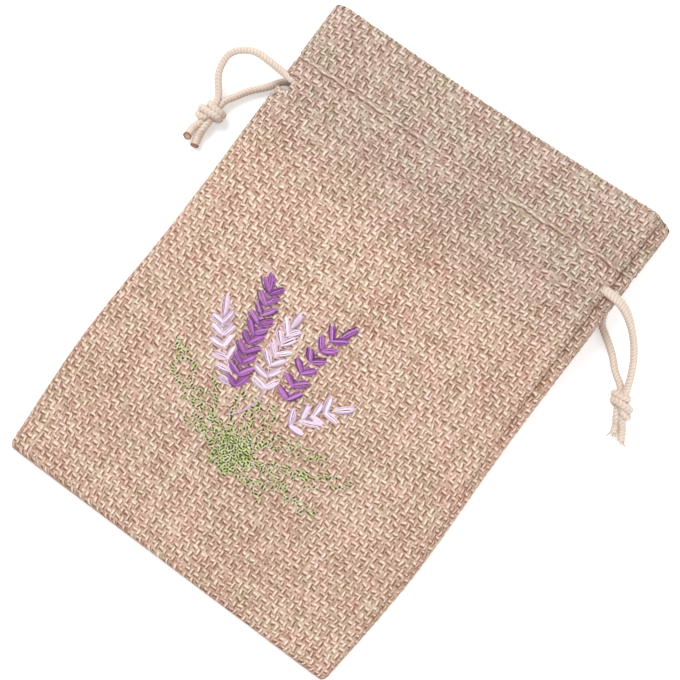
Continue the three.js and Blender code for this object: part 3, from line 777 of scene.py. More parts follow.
def section(m, panel, t, y, depth):
    """Wall of the pouch: t from 0 to 1 across a panel, y along the pouch, depth in from outside."""
    t, y, depth = np.broadcast_arrays(np.clip(t, 0.0, 1.0), y, depth)
    r = edge_height(m, y) / 2
    u = np.clip((y + m.half_length) / m.end_round, 0.0, 1.0)
    half = m.half_width - r - BOTTOM_CORNER * (1.0 - np.sqrt(1.0 - (1.0 - u) ** 2))
    left = math.radians(LEFT_SEAM)
    right = np.radians(seam_angle(y))
    front = panel == "front"
    first = r * (QUARTER - left) if front else r * (QUARTER + right)
    last = r * (QUARTER - right) if front else r * (QUARTER + left)
    total = first + 2.0 * half + last
    run = t * total
    over = run - first - 2.0 * half
    start = np.where(run < first, 1.0, 0.0)
    end = np.where(over > 0.0, 1.0, 0.0)
    if front:
        angle = QUARTER + start * (left + run / r - QUARTER) - end * over / r
    else:
        angle = -QUARTER + start * (right - run / r + QUARTER) + end * over / r
    facing = 1.0 if front else -1.0
    side = np.where(start > 0, -1.0, 1.0) * facing
    to_right = (1.0 - t) * total if front else t * total
    to_left = t * total if front else (1.0 - t) * total
    pinch = seam_pinch(y, to_right) + LEFT_PINCH_SHARE * seam_pinch(y, to_left)
    inner = r - (depth + pinch) * np.minimum(1.0, r / FULL_WALL_RADIUS)
    middle = (run - first - half) * facing
    x = np.where(start + end > 0, side * (half + inner * np.cos(angle)), middle)
    base = np.maximum(0.0, (m.bottom - 2.0 * r) / 2.0)
    z = base + r + inner * np.sin(angle)
    if front:
        z = z + np.where(start + end > 0, 0.0, front_swell(m, x, y, half))
    return lie(m, x, y, z), np.degrees(angle), side


def profile(m, v, height):
    """y and depth of a point v along the cloth: up the outside, over the mouth and down the facing."""
    v, height = np.broadcast_arrays(v, height)
    turn = np.clip((v - m.fold_start) / m.fold_run, 0.0, 1.0) * np.pi
    up = v - m.half_length
    down = m.fold_y - (v - m.fold_start - m.fold_run)
    radius = m.fold_radius + height
    y = np.where(turn <= 0, up, np.where(turn >= np.pi, down, m.fold_y + radius * np.sin(turn)))
    depth = m.ground_depth + m.fold_radius - radius * np.cos(turn)
    dip = sum(np.exp(-((y - line) / STITCH_DIP_REACH) ** 2) for line in (m.upper_stitch, m.lower_stitch))
    above = smooth((y - m.lower_stitch - CHANNEL_MARGIN) / CHANNEL_FLANK)
    below = smooth((m.upper_stitch - CHANNEL_MARGIN - y) / CHANNEL_FLANK)
    depth = depth + np.where(turn <= 0, m.stitch_dip * dip, 0.0)
    return y, depth + np.where(turn >= np.pi, CHANNEL_ROOM * (above * below), 0.0)


def slit_cut(y, lane, below, above, blur):
    """How far a cord slit is open at y: 0 outside it, 1 at its lane."""
    return smooth((y - lane + below + blur) / blur) * smooth((lane + above + blur - y) / blur)


def left_slit_angle(y):
    """Edge of the front panel at the left slit."""
    return LEFT_SEAM + LEFT_OPENING * slit_cut(y, LEFT_LANE, below=2.7, above=2.6, blur=0.5)


def right_slit_angle(y):
    """Edge of the back panel at the right slit."""
    return seam_angle(y) - RIGHT_OPENING * slit_cut(y, RIGHT_SLIT, below=0.95, above=0.95, blur=0.3)


def right_lip_angle(y):
    """Edge of the front panel where the right cord comes out from under it."""
    return seam_angle(y) + LIP_OPENING * slit_cut(y, RIGHT_SLIT, below=0.5, above=0.5, blur=0.7)


def in_slit(panel, y, angle, side):
    """True where a point of the outer cloth falls in a cord slit."""
    if panel == "front":
        slit = left_slit_angle(y)
        left = (side < 0) & (angle < slit - SLIT_TRIM) & (slit > LEFT_SEAM + SLIT_LEAST)
        lip = right_lip_angle(y)
        right = (side > 0) & (angle < lip - SLIT_TRIM) & (lip > seam_angle(y) + SLIT_LEAST)
        return left | right
    slit = right_slit_angle(y)
    return (side > 0) & (angle > slit + SLIT_TRIM) & (slit < seam_angle(y) - SLIT_LEAST)


def front_point(m, x, y, lift):
    """A point lift millimetres above the yarns of the front, at a place measured on the lying pouch."""
    x = np.asarray(x, float)
    y = np.asarray(y, float)
    moved = lie(m, x, y, np.zeros_like(x))
    x = 2.0 * x - moved[..., 0]
    y = 2.0 * y - moved[..., 1]
    r = edge_height(m, y) / 2
    half = m.half_width - r
    base = np.maximum(0.0, (m.bottom - 2.0 * r) / 2.0)
    z = base + 2.0 * r + front_swell(m, x, y, half) + lift
    return lie(m, x, y, z)


# Drawstring, in millimetres

# Routes from just inside each slit to the knot; the third point is where the strand comes out
LEFT_FRONT = ((-46.0, 45.85, 9.9), (-47.9, 46.0, 8.9), (-50.4, 46.3, 8.3), (-54.7, 46.5, 8.5),
              (-58.4, 46.4, 8.2), (-61.8, 44.9, 6.6), (-64.0, 42.3, 5.2), (-64.1, 39.2, 4.4),
              (-63.0, 36.0, 3.9))
LEFT_BACK = ((-46.0, 45.85, 1.8), (-48.0, 45.7, 1.8), (-49.7, 44.7, 1.8), (-51.2, 42.3, 1.7),
             (-53.5, 39.7, 1.6), (-56.0, 36.4, 1.7), (-57.6, 33.6, 2.0))
RIGHT_FRONT = ((45.0, 49.65, 10.1), (46.6, 49.65, 10.9), (49.0, 49.6, 11.1), (51.4, 49.4, 10.5),
               (54.2, 48.5, 9.3), (56.9, 46.9, 7.9), (59.6, 44.7, 6.4), (62.2, 41.9, 5.1),
               (64.1, 38.9, 4.3), (65.2, 36.6, 4.0))
RIGHT_BACK = ((46.0, 49.65, 1.8), (48.2, 49.3, 1.7), (50.0, 47.5, 1.5), (50.9, 45.3, 1.3),
              (51.9, 43.2, 1.2), (54.0, 41.7, 1.2), (56.9, 39.8, 1.3), (59.8, 37.3, 1.6),
              (62.1, 35.1, 2.0))
# Cut ends past the knot, the front strand's first
LEFT_TAILS = (((-60.9, 22.4, 1.3), (-60.8, 20.6, 1.8), (-60.7, 19.5, 2.8)),
              ((-58.6, 21.8, 1.3), (-57.9, 18.6, 1.5)))
RIGHT_TAILS = (((71.6, 25.0, 1.3), (73.3, 22.2, 1.0)), ((69.4, 25.4, 1.3), (70.4, 22.8, 1.0)))
# Knots: sizes are in cord diameters, and lean and flatten shape the whole knot
LEFT_KNOT = SimpleNamespace(centre=(-59.3, 27.9), axis=(0.0, -1.0), mirror=1.0,
                            wrap=1.68, reach=0.62, lean=-0.17, flatten=0.64)
RIGHT_KNOT = SimpleNamespace(centre=(67.5, 29.9), axis=(0.45, -0.893), mirror=-1.0,
                             wrap=1.38, reach=0.75, lean=-0.62, flatten=0.88)
RUN_HEIGHTS = {"front": 9.9, "back": 1.8}
CORD_START = 40.0
RUN_END = 42.3
BIGHT_CENTRE = 42.6
BIGHT_RADIUS = 4.05
NECK_MIDDLE = 5.85
KNOT_CORE = 0.5
KNOT_HUMP = 0.6
KNOT_HALF = 8.0
KNOT_KEEP = 4.2
KNOT_EASE = 5
# Where the wound strand enters and turns out, how far it climbs and winds, and where the other lies
KNOT_ENTER = 150.0
KNOT_LEAVE = 90.0
KNOT_CLIMB = 120.0
KNOT_WIND = 600.0
KNOT_STRAIGHT = -30.0
LEG_POINTS = 40
WOUND_POINTS = 110
FLOOR_GAP = 0.06
CORD_DRAFT_POINTS = 500
RUN_POINTS = 60
CORD_EASE = 40
CORD_STEP = 0.16


def round_core(x, radius, degrees):
    """Points at a radius and angle round the knot's axis."""
    angle = np.radians(degrees)
    return np.stack([x, radius * np.cos(angle), radius * np.sin(angle)], axis=1)


def overhand_knot(knot, diameter):
    """One strand wound about twice round both strands and back through its own turns, drawn tight.

    Angles are in degrees round the knot's axis, and each leg starts where the one before it ends.
    """
    half = KNOT_HALF
    core = KNOT_CORE * diameter
    wrap = knot.wrap * diameter
    reach = knot.reach * diameter
    q = np.linspace(0.0, 1.0, LEG_POINTS)
    level = np.ones_like(q)
    hump = KNOT_HUMP * diameter * np.sin(np.pi * q)
    entering = KNOT_ENTER - (KNOT_ENTER - KNOT_LEAVE) * smooth(3.0 * q - 1.2)
    first = KNOT_LEAVE + KNOT_CLIMB
    last = first + KNOT_WIND
    into = round_core(-half + (half + reach) * q, core * level, entering)
    out = round_core(reach + hump, core + (wrap - core) * smooth(q), KNOT_LEAVE + KNOT_CLIMB * q)
    around = round_core(reach - 2.0 * reach * q, wrap * level, first + KNOT_WIND * q)
    back = round_core(-reach - hump, wrap + (core - wrap) * smooth(q), last + KNOT_CLIMB * q)
    away = round_core(-reach + (half + reach) * q, core * level, (last + KNOT_CLIMB) * level)
    wound = evenly(np.concatenate([into, out, around, back, away]), WOUND_POINTS)
    straight = evenly(round_core(-half + 2.0 * half * q, core * level, KNOT_STRAIGHT * level), LEG_POINTS)
    for strand in (wound, straight):
        strand[:] = relaxed(strand, KNOT_EASE)
        strand[:, 0] += knot.lean * strand[:, 1]
        strand[:, 2] *= knot.flatten
    return wound, straight


def knot_in_place(strand, knot, lift):
    """A strand of the knot set at the knot's place, lying along the knot's axis."""
    ahead = np.array([*knot.axis, 0.0])
    side = np.array([-knot.axis[1], knot.axis[0], 0.0]) * knot.mirror
    return np.array([*knot.centre, lift]) + strand @ np.array([ahead, side, [0.0, 0.0, 1.0]])


def from_inside(route, height):
    """A route led straight back into its channel, where it goes on from the inside run."""
    x, y, _ = route[0]
    start = math.copysign(CORD_START, x)
    return np.array([(start, y, height), ((start + x) / 2, y, height), *route])


def knotted_cords(m, knot, routes, tails):
    """Centrelines of the two strands of a loop, through their knot to their cut ends."""
    strands = overhand_knot(knot, m.cord)
    lowest = m.cord / 2 + FLOOR_GAP
    lift = lowest - min(strand[:, 2].min() for strand in strands)
    lines = []
    for strand, route, tail, height in zip(strands, routes, tails, RUN_HEIGHTS.values()):
        inside = strand[np.abs(strand[:, 0]) < KNOT_KEEP]
        placed = knot_in_place(inside, knot, lift)
        rough = np.concatenate([from_inside(route, height), placed, np.array(tail)])
        line = smooth_line(rough, CORD_DRAFT_POINTS)
        line = evenly(line, int(line_length(line) / CORD_STEP))
        line[:, 2] = np.maximum(line[:, 2], lowest)
        lines.append(relaxed(line, CORD_EASE))
    return lines


BRAID_COLUMNS = 4
COLUMN_SHIFT = 0.25
COLUMN_EDGE = 0.3
RIB_ROUNDING = 0.7
BRAID_SLANT = 0.9
BRAID_SIDES = 24
RING_STEP = 0.12
CORE_SHARE = 0.96
RIB_SHARE = 0.14
# A seared tail flares over its last millimetres and is burnt at its tip
TAIL_FLARE = 0.14
FLARE_START = 7.0
FLARE_RUN = 6.0
BURN_START = 0.55
BURN_RUN = 0.35
# Where a cord is pressed flat near its start: full after the first run, gone after the second
PRESS_RUN = 5.0
RELEASE_START = 13.0
RELEASE_RUN = 9.0
PRESS_SINK = 0.4
# Rings that close a cord's cut end: share of its width, how deep they lie, and how burnt they are
CUT_END = ((0.85, 0.0, 1.0), (0.6, 0.25, 0.35), (0.02, 0.5, 0.0))
CUT_TONE = 0.5
HIDDEN_END = (0.6, 0.02)
HIDDEN_TONE = 0.3


def braid_rings(m, line, seared=False, pressed=0.0):
    """Rings of a braided cord along a line, with how high the braid stands and how far it is seared."""
    length = line_length(line)
    rings = int(length / RING_STEP) + 1
    line = evenly(line, rings)
    side, up = carried_frames(line)
    angle = np.linspace(0.0, 2.0 * np.pi, BRAID_SIDES, endpoint=False)[None, :]
    run = np.linspace(0.0, length, rings)[:, None]
    turn = angle / (2.0 * np.pi) * BRAID_COLUMNS + COLUMN_SHIFT
    within = turn % 1.0
    slant = np.where(np.floor(turn) % 2 == 0, within, 1.0 - within)
    rib = np.abs(np.sin(np.pi * (run / m.pitch + BRAID_SLANT * slant)))
    column = COLUMN_EDGE + (1.0 - COLUMN_EDGE) * np.sin(np.pi * within) ** 0.5
    height = rib ** RIB_ROUNDING * column
    heat = 1.0 if seared else 0.0
    flare = 1.0 + TAIL_FLARE * smooth((run - length + FLARE_START) / FLARE_RUN) * heat
    radius = m.cord / 2 * (CORE_SHARE + RIB_SHARE * height) * flare
    flat = pressed * (smooth(run / PRESS_RUN) - smooth((run - RELEASE_START) / RELEASE_RUN))[..., None]
    across = side[:, None] * np.cos(angle)[..., None] * (1.0 + flat)
    across = across + up[:, None] * np.sin(angle)[..., None] * (1.0 - PRESS_SINK * flat)
    rings_out = line[:, None] + across * radius[..., None]
    burnt = heat * smooth((run - length + BURN_START) / BURN_RUN) * np.ones_like(height)
    parts = [np.stack([height, run * np.ones_like(height), burnt], axis=-1)]
    bodies = [rings_out]
    back = unit(line[-2] - line[-1])
    level = np.ones_like(height[-1:])
    for share, deep, sear in CUT_END:
        bodies.append(line[-1] + back * deep + (rings_out[-1:] - line[-1]) * share)
        parts.append(np.stack([CUT_TONE * level, length * level, sear * burnt[-1:]], axis=-1))
    for share in HIDDEN_END:
        bodies.insert(0, line[0] + (rings_out[:1] - line[0]) * share)
        parts.insert(0, np.stack([HIDDEN_TONE * height[:1], 0.0 * level, 0.0 * level], axis=-1))
    return np.concatenate(bodies), np.concatenate(parts)


def cord_piece(m, name, line, material, seared=False, pressed=0.0):
    """A braided cord as one closed mesh, pressed flat near its start where it leaves a tight slit."""
    rings, parts = braid_rings(m, line, seared, pressed)
    along, around = rings.shape[:2]
    piece = make_piece(name, rings, tube_quads(1, along, around), material,
                       {"braid": parts.reshape(-1, 3)}, tube_uv(1, along, around))
    return piece


FRAY_COUNT = 14
FRAY_POINTS = 7
FRAY_SIDES = 5
# Points back from the cord's end that give the way it points
FRAY_BACK = 12
FRAY_ROOT = 0.8
# How far from the cord's middle a fibre starts, in cord diameters
FRAY_START = (0.1, 0.42)
FRAY_LEAN = 0.5
FRAY_STRAY_ASIDE = (-0.25, 0.25)
FRAY_STRAY_UP = (-0.2, 0.1)
FRAY_REACH = (1.3, 2.4)
FRAY_WIDTH = (0.2, 0.07)
FRAY_LOWEST = 0.1
FRAY_SHADES = (0.5, 1.0)


def frayed_end(random, line, diameter):
    """Loose fibres that stand out of a cut cord end."""
    tip = line[-1]
    ahead = unit(tip - line[-FRAY_BACK])
    side = unit(np.cross(ahead, UP))
    up = np.cross(side, ahead)
    fibres = []
    q = np.linspace(0.0, 1.0, FRAY_POINTS)[:, None]
    for _ in range(FRAY_COUNT):
        angle = random.uniform(0.0, 2.0 * np.pi)
        far = random.uniform(*FRAY_START) * diameter
        root = tip + far * (np.cos(angle) * side + np.sin(angle) * up) - FRAY_ROOT * ahead
        lean = (FRAY_LEAN * np.cos(angle) + random.uniform(*FRAY_STRAY_ASIDE)) * side
        lean = lean + random.uniform(*FRAY_STRAY_UP) * up
        reach = random.uniform(*FRAY_REACH)
        curve = root + reach * (q * ahead + q ** 2 * lean)
        curve[:, 2] = np.maximum(curve[:, 2], FRAY_LOWEST)
        fibres.append(round_thread(curve, np.linspace(*FRAY_WIDTH, FRAY_POINTS), FRAY_SIDES))
    return fibres


class SACHET_OT_cords(bpy.types.Operator):
    """Makes the two drawstring loops with their knots, and the runs inside the channel"""

    bl_idname = "sachet.cords"
    bl_label = "Drawstring cords"

    def execute(self, context):
        m, colours = settings(context)
        cotton = stored("braided_cotton_cord", braided_cotton, colours)
        fluff = stored("frayed_cotton", spun_thread, "frayed_cotton", colours.cord_middle,
                       colours.cord_light, colours.yarn_light, roughness=0.85, ply=0.3)
        sides = (("left", LEFT_KNOT, (LEFT_FRONT, LEFT_BACK), LEFT_TAILS, -1.0, LEFT_LANE),
                 ("right", RIGHT_KNOT, (RIGHT_FRONT, RIGHT_BACK), RIGHT_TAILS, 1.0, RIGHT_LANE))
        random = np.random.default_rng(SEED)
        for side, knot, routes, tails, sign, lane in sides:
            lines = knotted_cords(m, knot, routes, tails)
            for label, line, route in zip(("front", "back"), lines, routes):
                free_cord(m, side, label, line, cotton)
                inside_run(m, side, label, sign, lane, cotton)
            far_bight(m, side, sign, lane, cotton)
            if side == "right":
                fibres = [f for line in lines for f in frayed_end(random, line, m.cord)]
                shades = random.uniform(*FRAY_SHADES, len(fibres))
                fray = thread_piece("right_frayed_ends", fibres, fluff, shades)
                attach(fray, "right_loop")
        return {"FINISHED"}


SLIT_PRESS = 0.3


def free_cord(m, side, label, line, material):
    """One strand of a loop, from inside its slit through the knot to its cut end."""
    pressed = SLIT_PRESS if (side, label) == ("right", "front") else 0.0
    piece = cord_piece(m, f"{side}_{label}_cord", line, material, side == "left", pressed)
    tail = "1" if (label == "front") == (side == "left") else "2"
    nodes = [f"{side}_cord_{label}_strand", f"{side}_tail_{tail}"]
    if label == "front":
        nodes.append(f"{side}_knot")
    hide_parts(*nodes)
    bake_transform(piece)


def inside_run(m, side, label, sign, lane, material):
    """One run of the cord inside its channel."""
    height = RUN_HEIGHTS[label]
    ends = np.array([(sign * CORD_START, lane, height), (-sign * RUN_END, lane, height)])
    piece = cord_piece(m, f"{side}_{label}_run", evenly(ends, RUN_POINTS), material)
    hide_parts(f"{side}_cord_{label}_run")
    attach(piece, f"{side}_cord")


def far_bight(m, side, sign, lane, material):
    """The turn of the cord at the far end of its channel."""
    turn = np.linspace(QUARTER, -QUARTER, LEG_POINTS)
    line = np.stack([-sign * (BIGHT_CENTRE + BIGHT_RADIUS * np.cos(turn)),
                     lane + 0.0 * turn,
                     NECK_MIDDLE + BIGHT_RADIUS * np.sin(turn)], axis=1)
    piece = cord_piece(m, f"{side}_far_bight", line, material)
    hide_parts(f"{side}_cord_bight")
    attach(piece, "pouch")


# Stage

CAMERA_LENS = 100.0
CAMERA_PLACE = (0.795, 0.895, 478.9)
CAMERA_TURN = 36.25
# Each lamp's place and size in metres, and its power in watts
LAMPS = (
    SimpleNamespace(name="key", place=(-0.62, 0.3, 0.8), power=7.9, size=0.5),
    SimpleNamespace(name="fill", place=(0.95, -0.05, 0.45), power=6.0, size=0.9))
ROOM_LIGHT = 0.62
FLOOR_REACH = 1500.0
FLOOR_LEVEL = -0.1


class SACHET_OT_stage(bpy.types.Operator):
    """Sets the camera above the sachet, the pale floor and the soft light"""

    bl_idname = "sachet.stage"
    bl_label = "Stage"

    def execute(self, context):
        scene = context.scene
        scene.view_settings.view_transform = "Standard"
        camera = bpy.data.objects.new("camera", bpy.data.cameras.new("camera"))
        camera.data.lens = CAMERA_LENS
        camera.data.sensor_width = 36.0
        camera.data.clip_start = 0.01
        camera.location = [c * MM for c in CAMERA_PLACE]
        camera.rotation_euler = (0.0, 0.0, math.radians(CAMERA_TURN))
        scene.collection.objects.link(camera)
        scene.camera = camera
        for plan in LAMPS:
            lamp = bpy.data.objects.new(plan.name, bpy.data.lights.new(plan.name, "AREA"))
            lamp.data.energy = plan.power
            lamp.data.size = plan.size
            lamp.location = plan.place
            lamp.rotation_euler = (-lamp.location).to_track_quat("-Z", "Y").to_euler()
            scene.collection.objects.link(lamp)
        self.floor(context)
        self.sky(scene)
        return {"FINISHED"}

    def floor(self, context):
        """A wide pale floor just under the sachet."""
        signs = ((-1, -1), (1, -1), (1, 1), (-1, 1))
        corners = [(x * FLOOR_REACH, y * FLOOR_REACH, FLOOR_LEVEL) for x, y in signs]
        material = pale_floor(context.scene.sachet_colours)
        make_piece("floor", corners, [(0, 1, 2, 3)], material)

    def sky(self, scene):
        """White surroundings: soft light on the sachet, plain white to the camera."""
        world = bpy.data.worlds.new("white_room")
        scene.world = world
        world.use_nodes = True
        tree = world.node_tree
        tree.nodes.clear()
        strength = add_node(tree, "ShaderNodeMapRange", {
            "Value": seen_share(tree), "To Min": ROOM_LIGHT, "To Max": 1.0})
        room = add_node(tree, "ShaderNodeBackground", {
            "Color": (1.0, 1.0, 1.0, 1.0), "Strength": strength.outputs["Result"]})
        add_node(tree, "ShaderNodeOutputWorld", {"Surface": room.outputs["Background"]})


# Woven panels

# Corners of a yarn's cut end: across as shares of its half width, and up as shares of its half height
YARN_SIDES = np.array([(-1.0, -0.1), (-0.88, 0.7), (0.88, 0.7), (1.0, -0.1), (0.0, -0.85)])
SAMPLES_PER_CROSSING = 3
# Half widths of the yarns, as shares of their spacing
WARP_HALF = 0.57
WEFT_HALF = 0.56
STOUT = (0.86, 1.14)
SLUB_WIDE = 0.16
SLUB_THICK = 0.12
UNEVEN = 0.11
WANDER = 0.15
# How strongly the painted highlight shows: full on top of a float, dimmer where the yarn dives under
RISE_MIDDLE = 0.6
RISE_SWING = 0.4
TONE_RANGE = (0.15, 0.85)
TONE_DRIFT = 0.4
# Each yarn takes its patterns from its own stretch of them, this many millimetres on
OWN_STRETCH = 61.7
SEAM_SHADE = 0.8
SEAM_SHADE_REACH = 0.9
GROUND_FACES = (0.12, -0.1)
GROUND_COLUMNS = 121
# Rows of the ground up the outside, over the mouth and down the facing
GROUND_ROWS = (141, 9, 31)


def uneven_place(random, count, samples, cells, step):
    """How far each yarn lies from its even place, and how it wanders along its way."""
    off = UNEVEN * step * random.uniform(-1.0, 1.0, (count, 1))
    return off + WANDER * slow_noise(random, count, samples, cells)


def yarn_girth(m, random, count, samples, cells, half):
    """Where ring points lie across and above each yarn's middle, with its stouter and thinner places."""
    slub = slow_noise(random, count, samples, 2 * cells)
    stout = random.uniform(*STOUT, (count, 1))
    wide = half * stout * (1.0 + SLUB_WIDE * slub)
    across = YARN_SIDES[:, 0] * wide[..., None]
    thick = m.yarn_half * (1.0 + SLUB_THICK * slub)[..., None] * YARN_SIDES[:, 1]
    return across, thick


def warp_places(m, panel, random, first_row, last_row):
    """Yarns along the pouch: where each ring point lies across the panel, along the cloth and above it.

    Three more numbers follow: how high the yarn rises there, which dims its painted highlight where it
    dives under, its tone, and the way its patterns turn, which puts the painted highlight on the lit side.
    """
    samples = SAMPLES_PER_CROSSING * (last_row - first_row) + 1
    v = np.linspace(first_row, last_row, samples) * m.weft_step
    number = np.arange(m.warps)[:, None]
    wave = np.cos(np.pi * (v / m.weft_step - 0.5)[None, :] + np.pi * number)
    cells = max(4, (last_row - first_row) // 3)
    drift = uneven_place(random, m.warps, samples, cells, m.warp_step)
    drift *= np.clip(np.minimum(number, m.warps - 1 - number) / 2.0, 0.0, 1.0)
    across, thick = yarn_girth(m, random, m.warps, samples, cells, WARP_HALF * m.warp_step)
    y, _ = profile(m, v, m.yarn_height)
    arc = panel_arc(m, panel, y)[None, :, None]
    t = (number[..., None] + 0.5) / m.warps + (across + drift[..., None]) / arc
    height = m.yarn_height + m.yarn_swing * wave[..., None] + thick
    rise = RISE_MIDDLE + RISE_SWING * wave[..., None] + 0.0 * t
    tone = yarn_tone(random, m.warps, samples, cells)
    return t, v[None, :, None] + 0.0 * t, height, rise, tone[..., None] + 0.0 * t, 1.0


def weft_places(m, _, random, first_row, last_row):
    """Yarns across the pouch, in the same terms as warp_places."""
    rows = last_row - first_row
    samples = SAMPLES_PER_CROSSING * m.warps + 1
    t = np.linspace(0.0, 1.0, samples)
    number = np.arange(first_row, last_row)[:, None]
    wave = -np.cos(np.pi * (t * m.warps - 0.5)[None, :] + np.pi * number)
    cells = m.warps // 3
    drift = uneven_place(random, rows, samples, cells, m.weft_step)
    across, thick = yarn_girth(m, random, rows, samples, cells, WEFT_HALF * m.weft_step)
    v = (number[..., None] + 0.5) * m.weft_step + (across + drift[..., None])
    height = m.yarn_height + m.yarn_swing * wave[..., None] + thick
    rise = RISE_MIDDLE + RISE_SWING * wave[..., None] + 0.0 * v
    tone = yarn_tone(random, rows, samples, cells)
    return t[None, :, None] + 0.0 * v, np.maximum(v, 0.0), height, rise, tone[..., None] + 0.0 * v, -1.0


def yarn_tone(random, count, samples, cells):
    """How pale each yarn is, from yarn to yarn and slowly along it."""
    own = random.uniform(*TONE_RANGE, (count, 1))
    return np.clip(own + TONE_DRIFT * slow_noise(random, count, samples, cells), 0.0, 1.0)


def yarn_piece(m, panel, name, groups, material):
    """One mesh of woven yarns, without what falls in a cord slit."""
    points = []
    quads = []
    maps = []
    yarns = []
    rises = []
    total = 0
    for t, v, height, rise, tone, twist in groups:
        y, depth = profile(m, v, height)
        place, angle, side = section(m, panel, t, y, depth)
        count, along, around = t.shape
        corner = tube_quads(count, along, around)
        cut = (in_slit(panel, y, angle, side) & ((v < m.fold_start) | (panel == "front"))).ravel()
        kept = ~cut[corner].all(axis=1)
        quads.append(corner[kept] + total)
        strip = tube_uv(count, along, around).reshape(-1, 4, 2)
        strip[..., 1] = (strip[..., 1] + len(maps)) / len(groups)
        maps.append(strip[kept].reshape(-1, 2))
        points.append(place.reshape(-1, 3))
        run = np.arange(along)[None, :, None] * m.weft_step / SAMPLES_PER_CROSSING + 0.0 * t
        run += OWN_STRETCH * np.arange(count)[:, None, None]
        # Weft turns run the other way round, so that on warp and weft alike the painted highlight leans to
        # the lit side and the painted shade line lies on the unlit side
        turn = CREST + twist * (np.arange(around)[None, None, :] / around - CREST) + 0.0 * t
        near = (1.0 - t if panel == "front" else t) * panel_arc(m, panel, y)
        # The right seam's shade comes and goes every 3 mm or so
        patchy = 0.6 + 0.4 * np.sin(2.1 * y + 1.7 * np.sin(0.6 * y))
        tone = tone - SEAM_SHADE * patchy * np.exp(-((near / SEAM_SHADE_REACH) ** 2))
        yarns.append(np.stack([turn, run, tone], axis=-1).reshape(-1, 3))
        rises.append(rise.ravel())
        total += t.size
    piece = make_piece(name, np.concatenate(points), np.concatenate(quads), material,
                       {"yarn": np.concatenate(yarns), "rise": np.clip(np.concatenate(rises), 0.0, 1.0)},
                       np.concatenate(maps), rounded=False)
    on_pouch(piece, "burlap_cloth")
    return piece


def ground_piece(m, panel, material):
    """A dark sheet under the yarns, painted shade seen through their gaps, as one thin closed shell from
    seam over mouth to facing.
    """
    up, over, down = GROUND_ROWS
    across = np.linspace(0.0, 1.0, GROUND_COLUMNS)[None, :]
    fold = np.linspace(m.fold_start, m.fold_start + m.fold_run, over)
    below = np.linspace(0.0, 1.0, up) * m.fold_start
    after = np.linspace(m.fold_start + m.fold_run, m.cloth_run, down)
    v = np.concatenate([below, fold[1:-1], after])[:, None]
    layers = []
    for height in GROUND_FACES:
        y, depth = profile(m, v, height + 0.0 * across)
        place, angle, side = section(m, panel, across + 0.0 * v, y, depth)
        layers.append(place)
    cut = in_slit(panel, y, angle, side) & ((v < m.fold_start) | (panel == "front"))
    points, quads = closed_shell(*layers, cut)
    piece = make_piece(f"{panel}_cloth", points, quads, material)
    on_pouch(piece, "burlap_cloth", f"{panel}_panel")
    return piece


class SACHET_OT_panels(bpy.types.Operator):
    """Weaves the front and back panels, yarn by yarn, over a dark ground sheet of painted shade"""

    bl_idname = "sachet.panels"
    bl_label = "Woven panels"

    def execute(self, context):
        m, colours = settings(context)
        burlap = stored("woven_burlap_yarn", woven_burlap, colours)
        ground = stored("burlap_ground_painted_shade", shaded_ground, colours)
        for index, panel in enumerate(("front", "back")):
            random = np.random.default_rng(SEED + index)
            turned = m.rows + 1
            warps = [warp_places(m, panel, random, 0, turned)]
            warp = yarn_piece(m, panel, f"{panel}_warp_yarns", warps, burlap)
            wefts = [weft_places(m, panel, random, 0, turned)]
            weft = yarn_piece(m, panel, f"{panel}_weft_yarns", wefts, burlap)
            folded = [places(m, panel, random, turned, m.all_rows)
                      for places in (warp_places, weft_places)]
            facing = yarn_piece(m, panel, f"{panel}_facing_yarns", folded, burlap)
            cloth = ground_piece(m, panel, ground)
        return {"FINISHED"}


# Filling

BUD_SPACING = (3.3, 3.3, 2.2)
BUD_MARGIN = (2.0, 1.0)
BUD_STRAY = 0.7
BUD_TILT = 0.25
BUD_REACH = (1.9, 2.7)
BUD_OUTLINE = np.array([0.25, 0.95, 1.15, 1.1, 0.8, 0.3])
BUD_SHADES = (0.0, 0.7)
FILL_FLOOR = 2.6
FILL_UNDER_ROOF = 2.7


def bud_lines(m, random):
    """Centrelines of dried buds that fill the pouch, each lying at its own angle."""
    low, high = (np.array(c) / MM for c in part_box("dried_lavender_fill"))
    ends = zip(low + BUD_MARGIN[0], high - BUD_MARGIN[1], BUD_SPACING)
    axes = [np.arange(start, stop, step) for start, stop, step in ends]
    places = np.stack(np.meshgrid(*axes, indexing="ij"), axis=-1).reshape(-1, 3)
    places = places + random.uniform(-BUD_STRAY, BUD_STRAY, places.shape)
    r = edge_height(m, places[:, 1]) / 2
    roof = 2.0 * r + front_swell(m, places[:, 0], places[:, 1], m.half_width - r)
    inside = (places[:, 2] > FILL_FLOOR) & (places[:, 2] < roof - FILL_UNDER_ROOF)
    places = places[inside]
    turn = random.uniform(0.0, 2.0 * np.pi, len(places))
    tilt = random.uniform(-BUD_TILT, BUD_TILT, len(places))
    ahead = np.stack([np.cos(turn), np.sin(turn), tilt], axis=1)
    reach = random.uniform(*BUD_REACH, len(places))
    share = np.linspace(-1.0, 1.0, len(BUD_OUTLINE))
    return places[:, None] + ahead[:, None] * reach[:, None, None] * share[None, :, None]


class SACHET_OT_filling(bpy.types.Operator):
    """Fills the pouch with dried lavender buds"""

    bl_idname = "sachet.filling"
    bl_label = "Lavender filling"

    def execute(self, context):
        m, colours = settings(context)
        material = stored("dried_lavender_buds", dried_buds, colours)
        random = np.random.default_rng(SEED + 11)
        buds = [round_thread(line, BUD_OUTLINE) for line in bud_lines(m, random)]
        shades = random.uniform(*BUD_SHADES, len(buds))
        piece = thread_piece("dried_lavender_buds", buds, material, shades)
        on_pouch(piece, "dried_lavender", "dried_lavender_fill")
        return {"FINISHED"}


# Seams

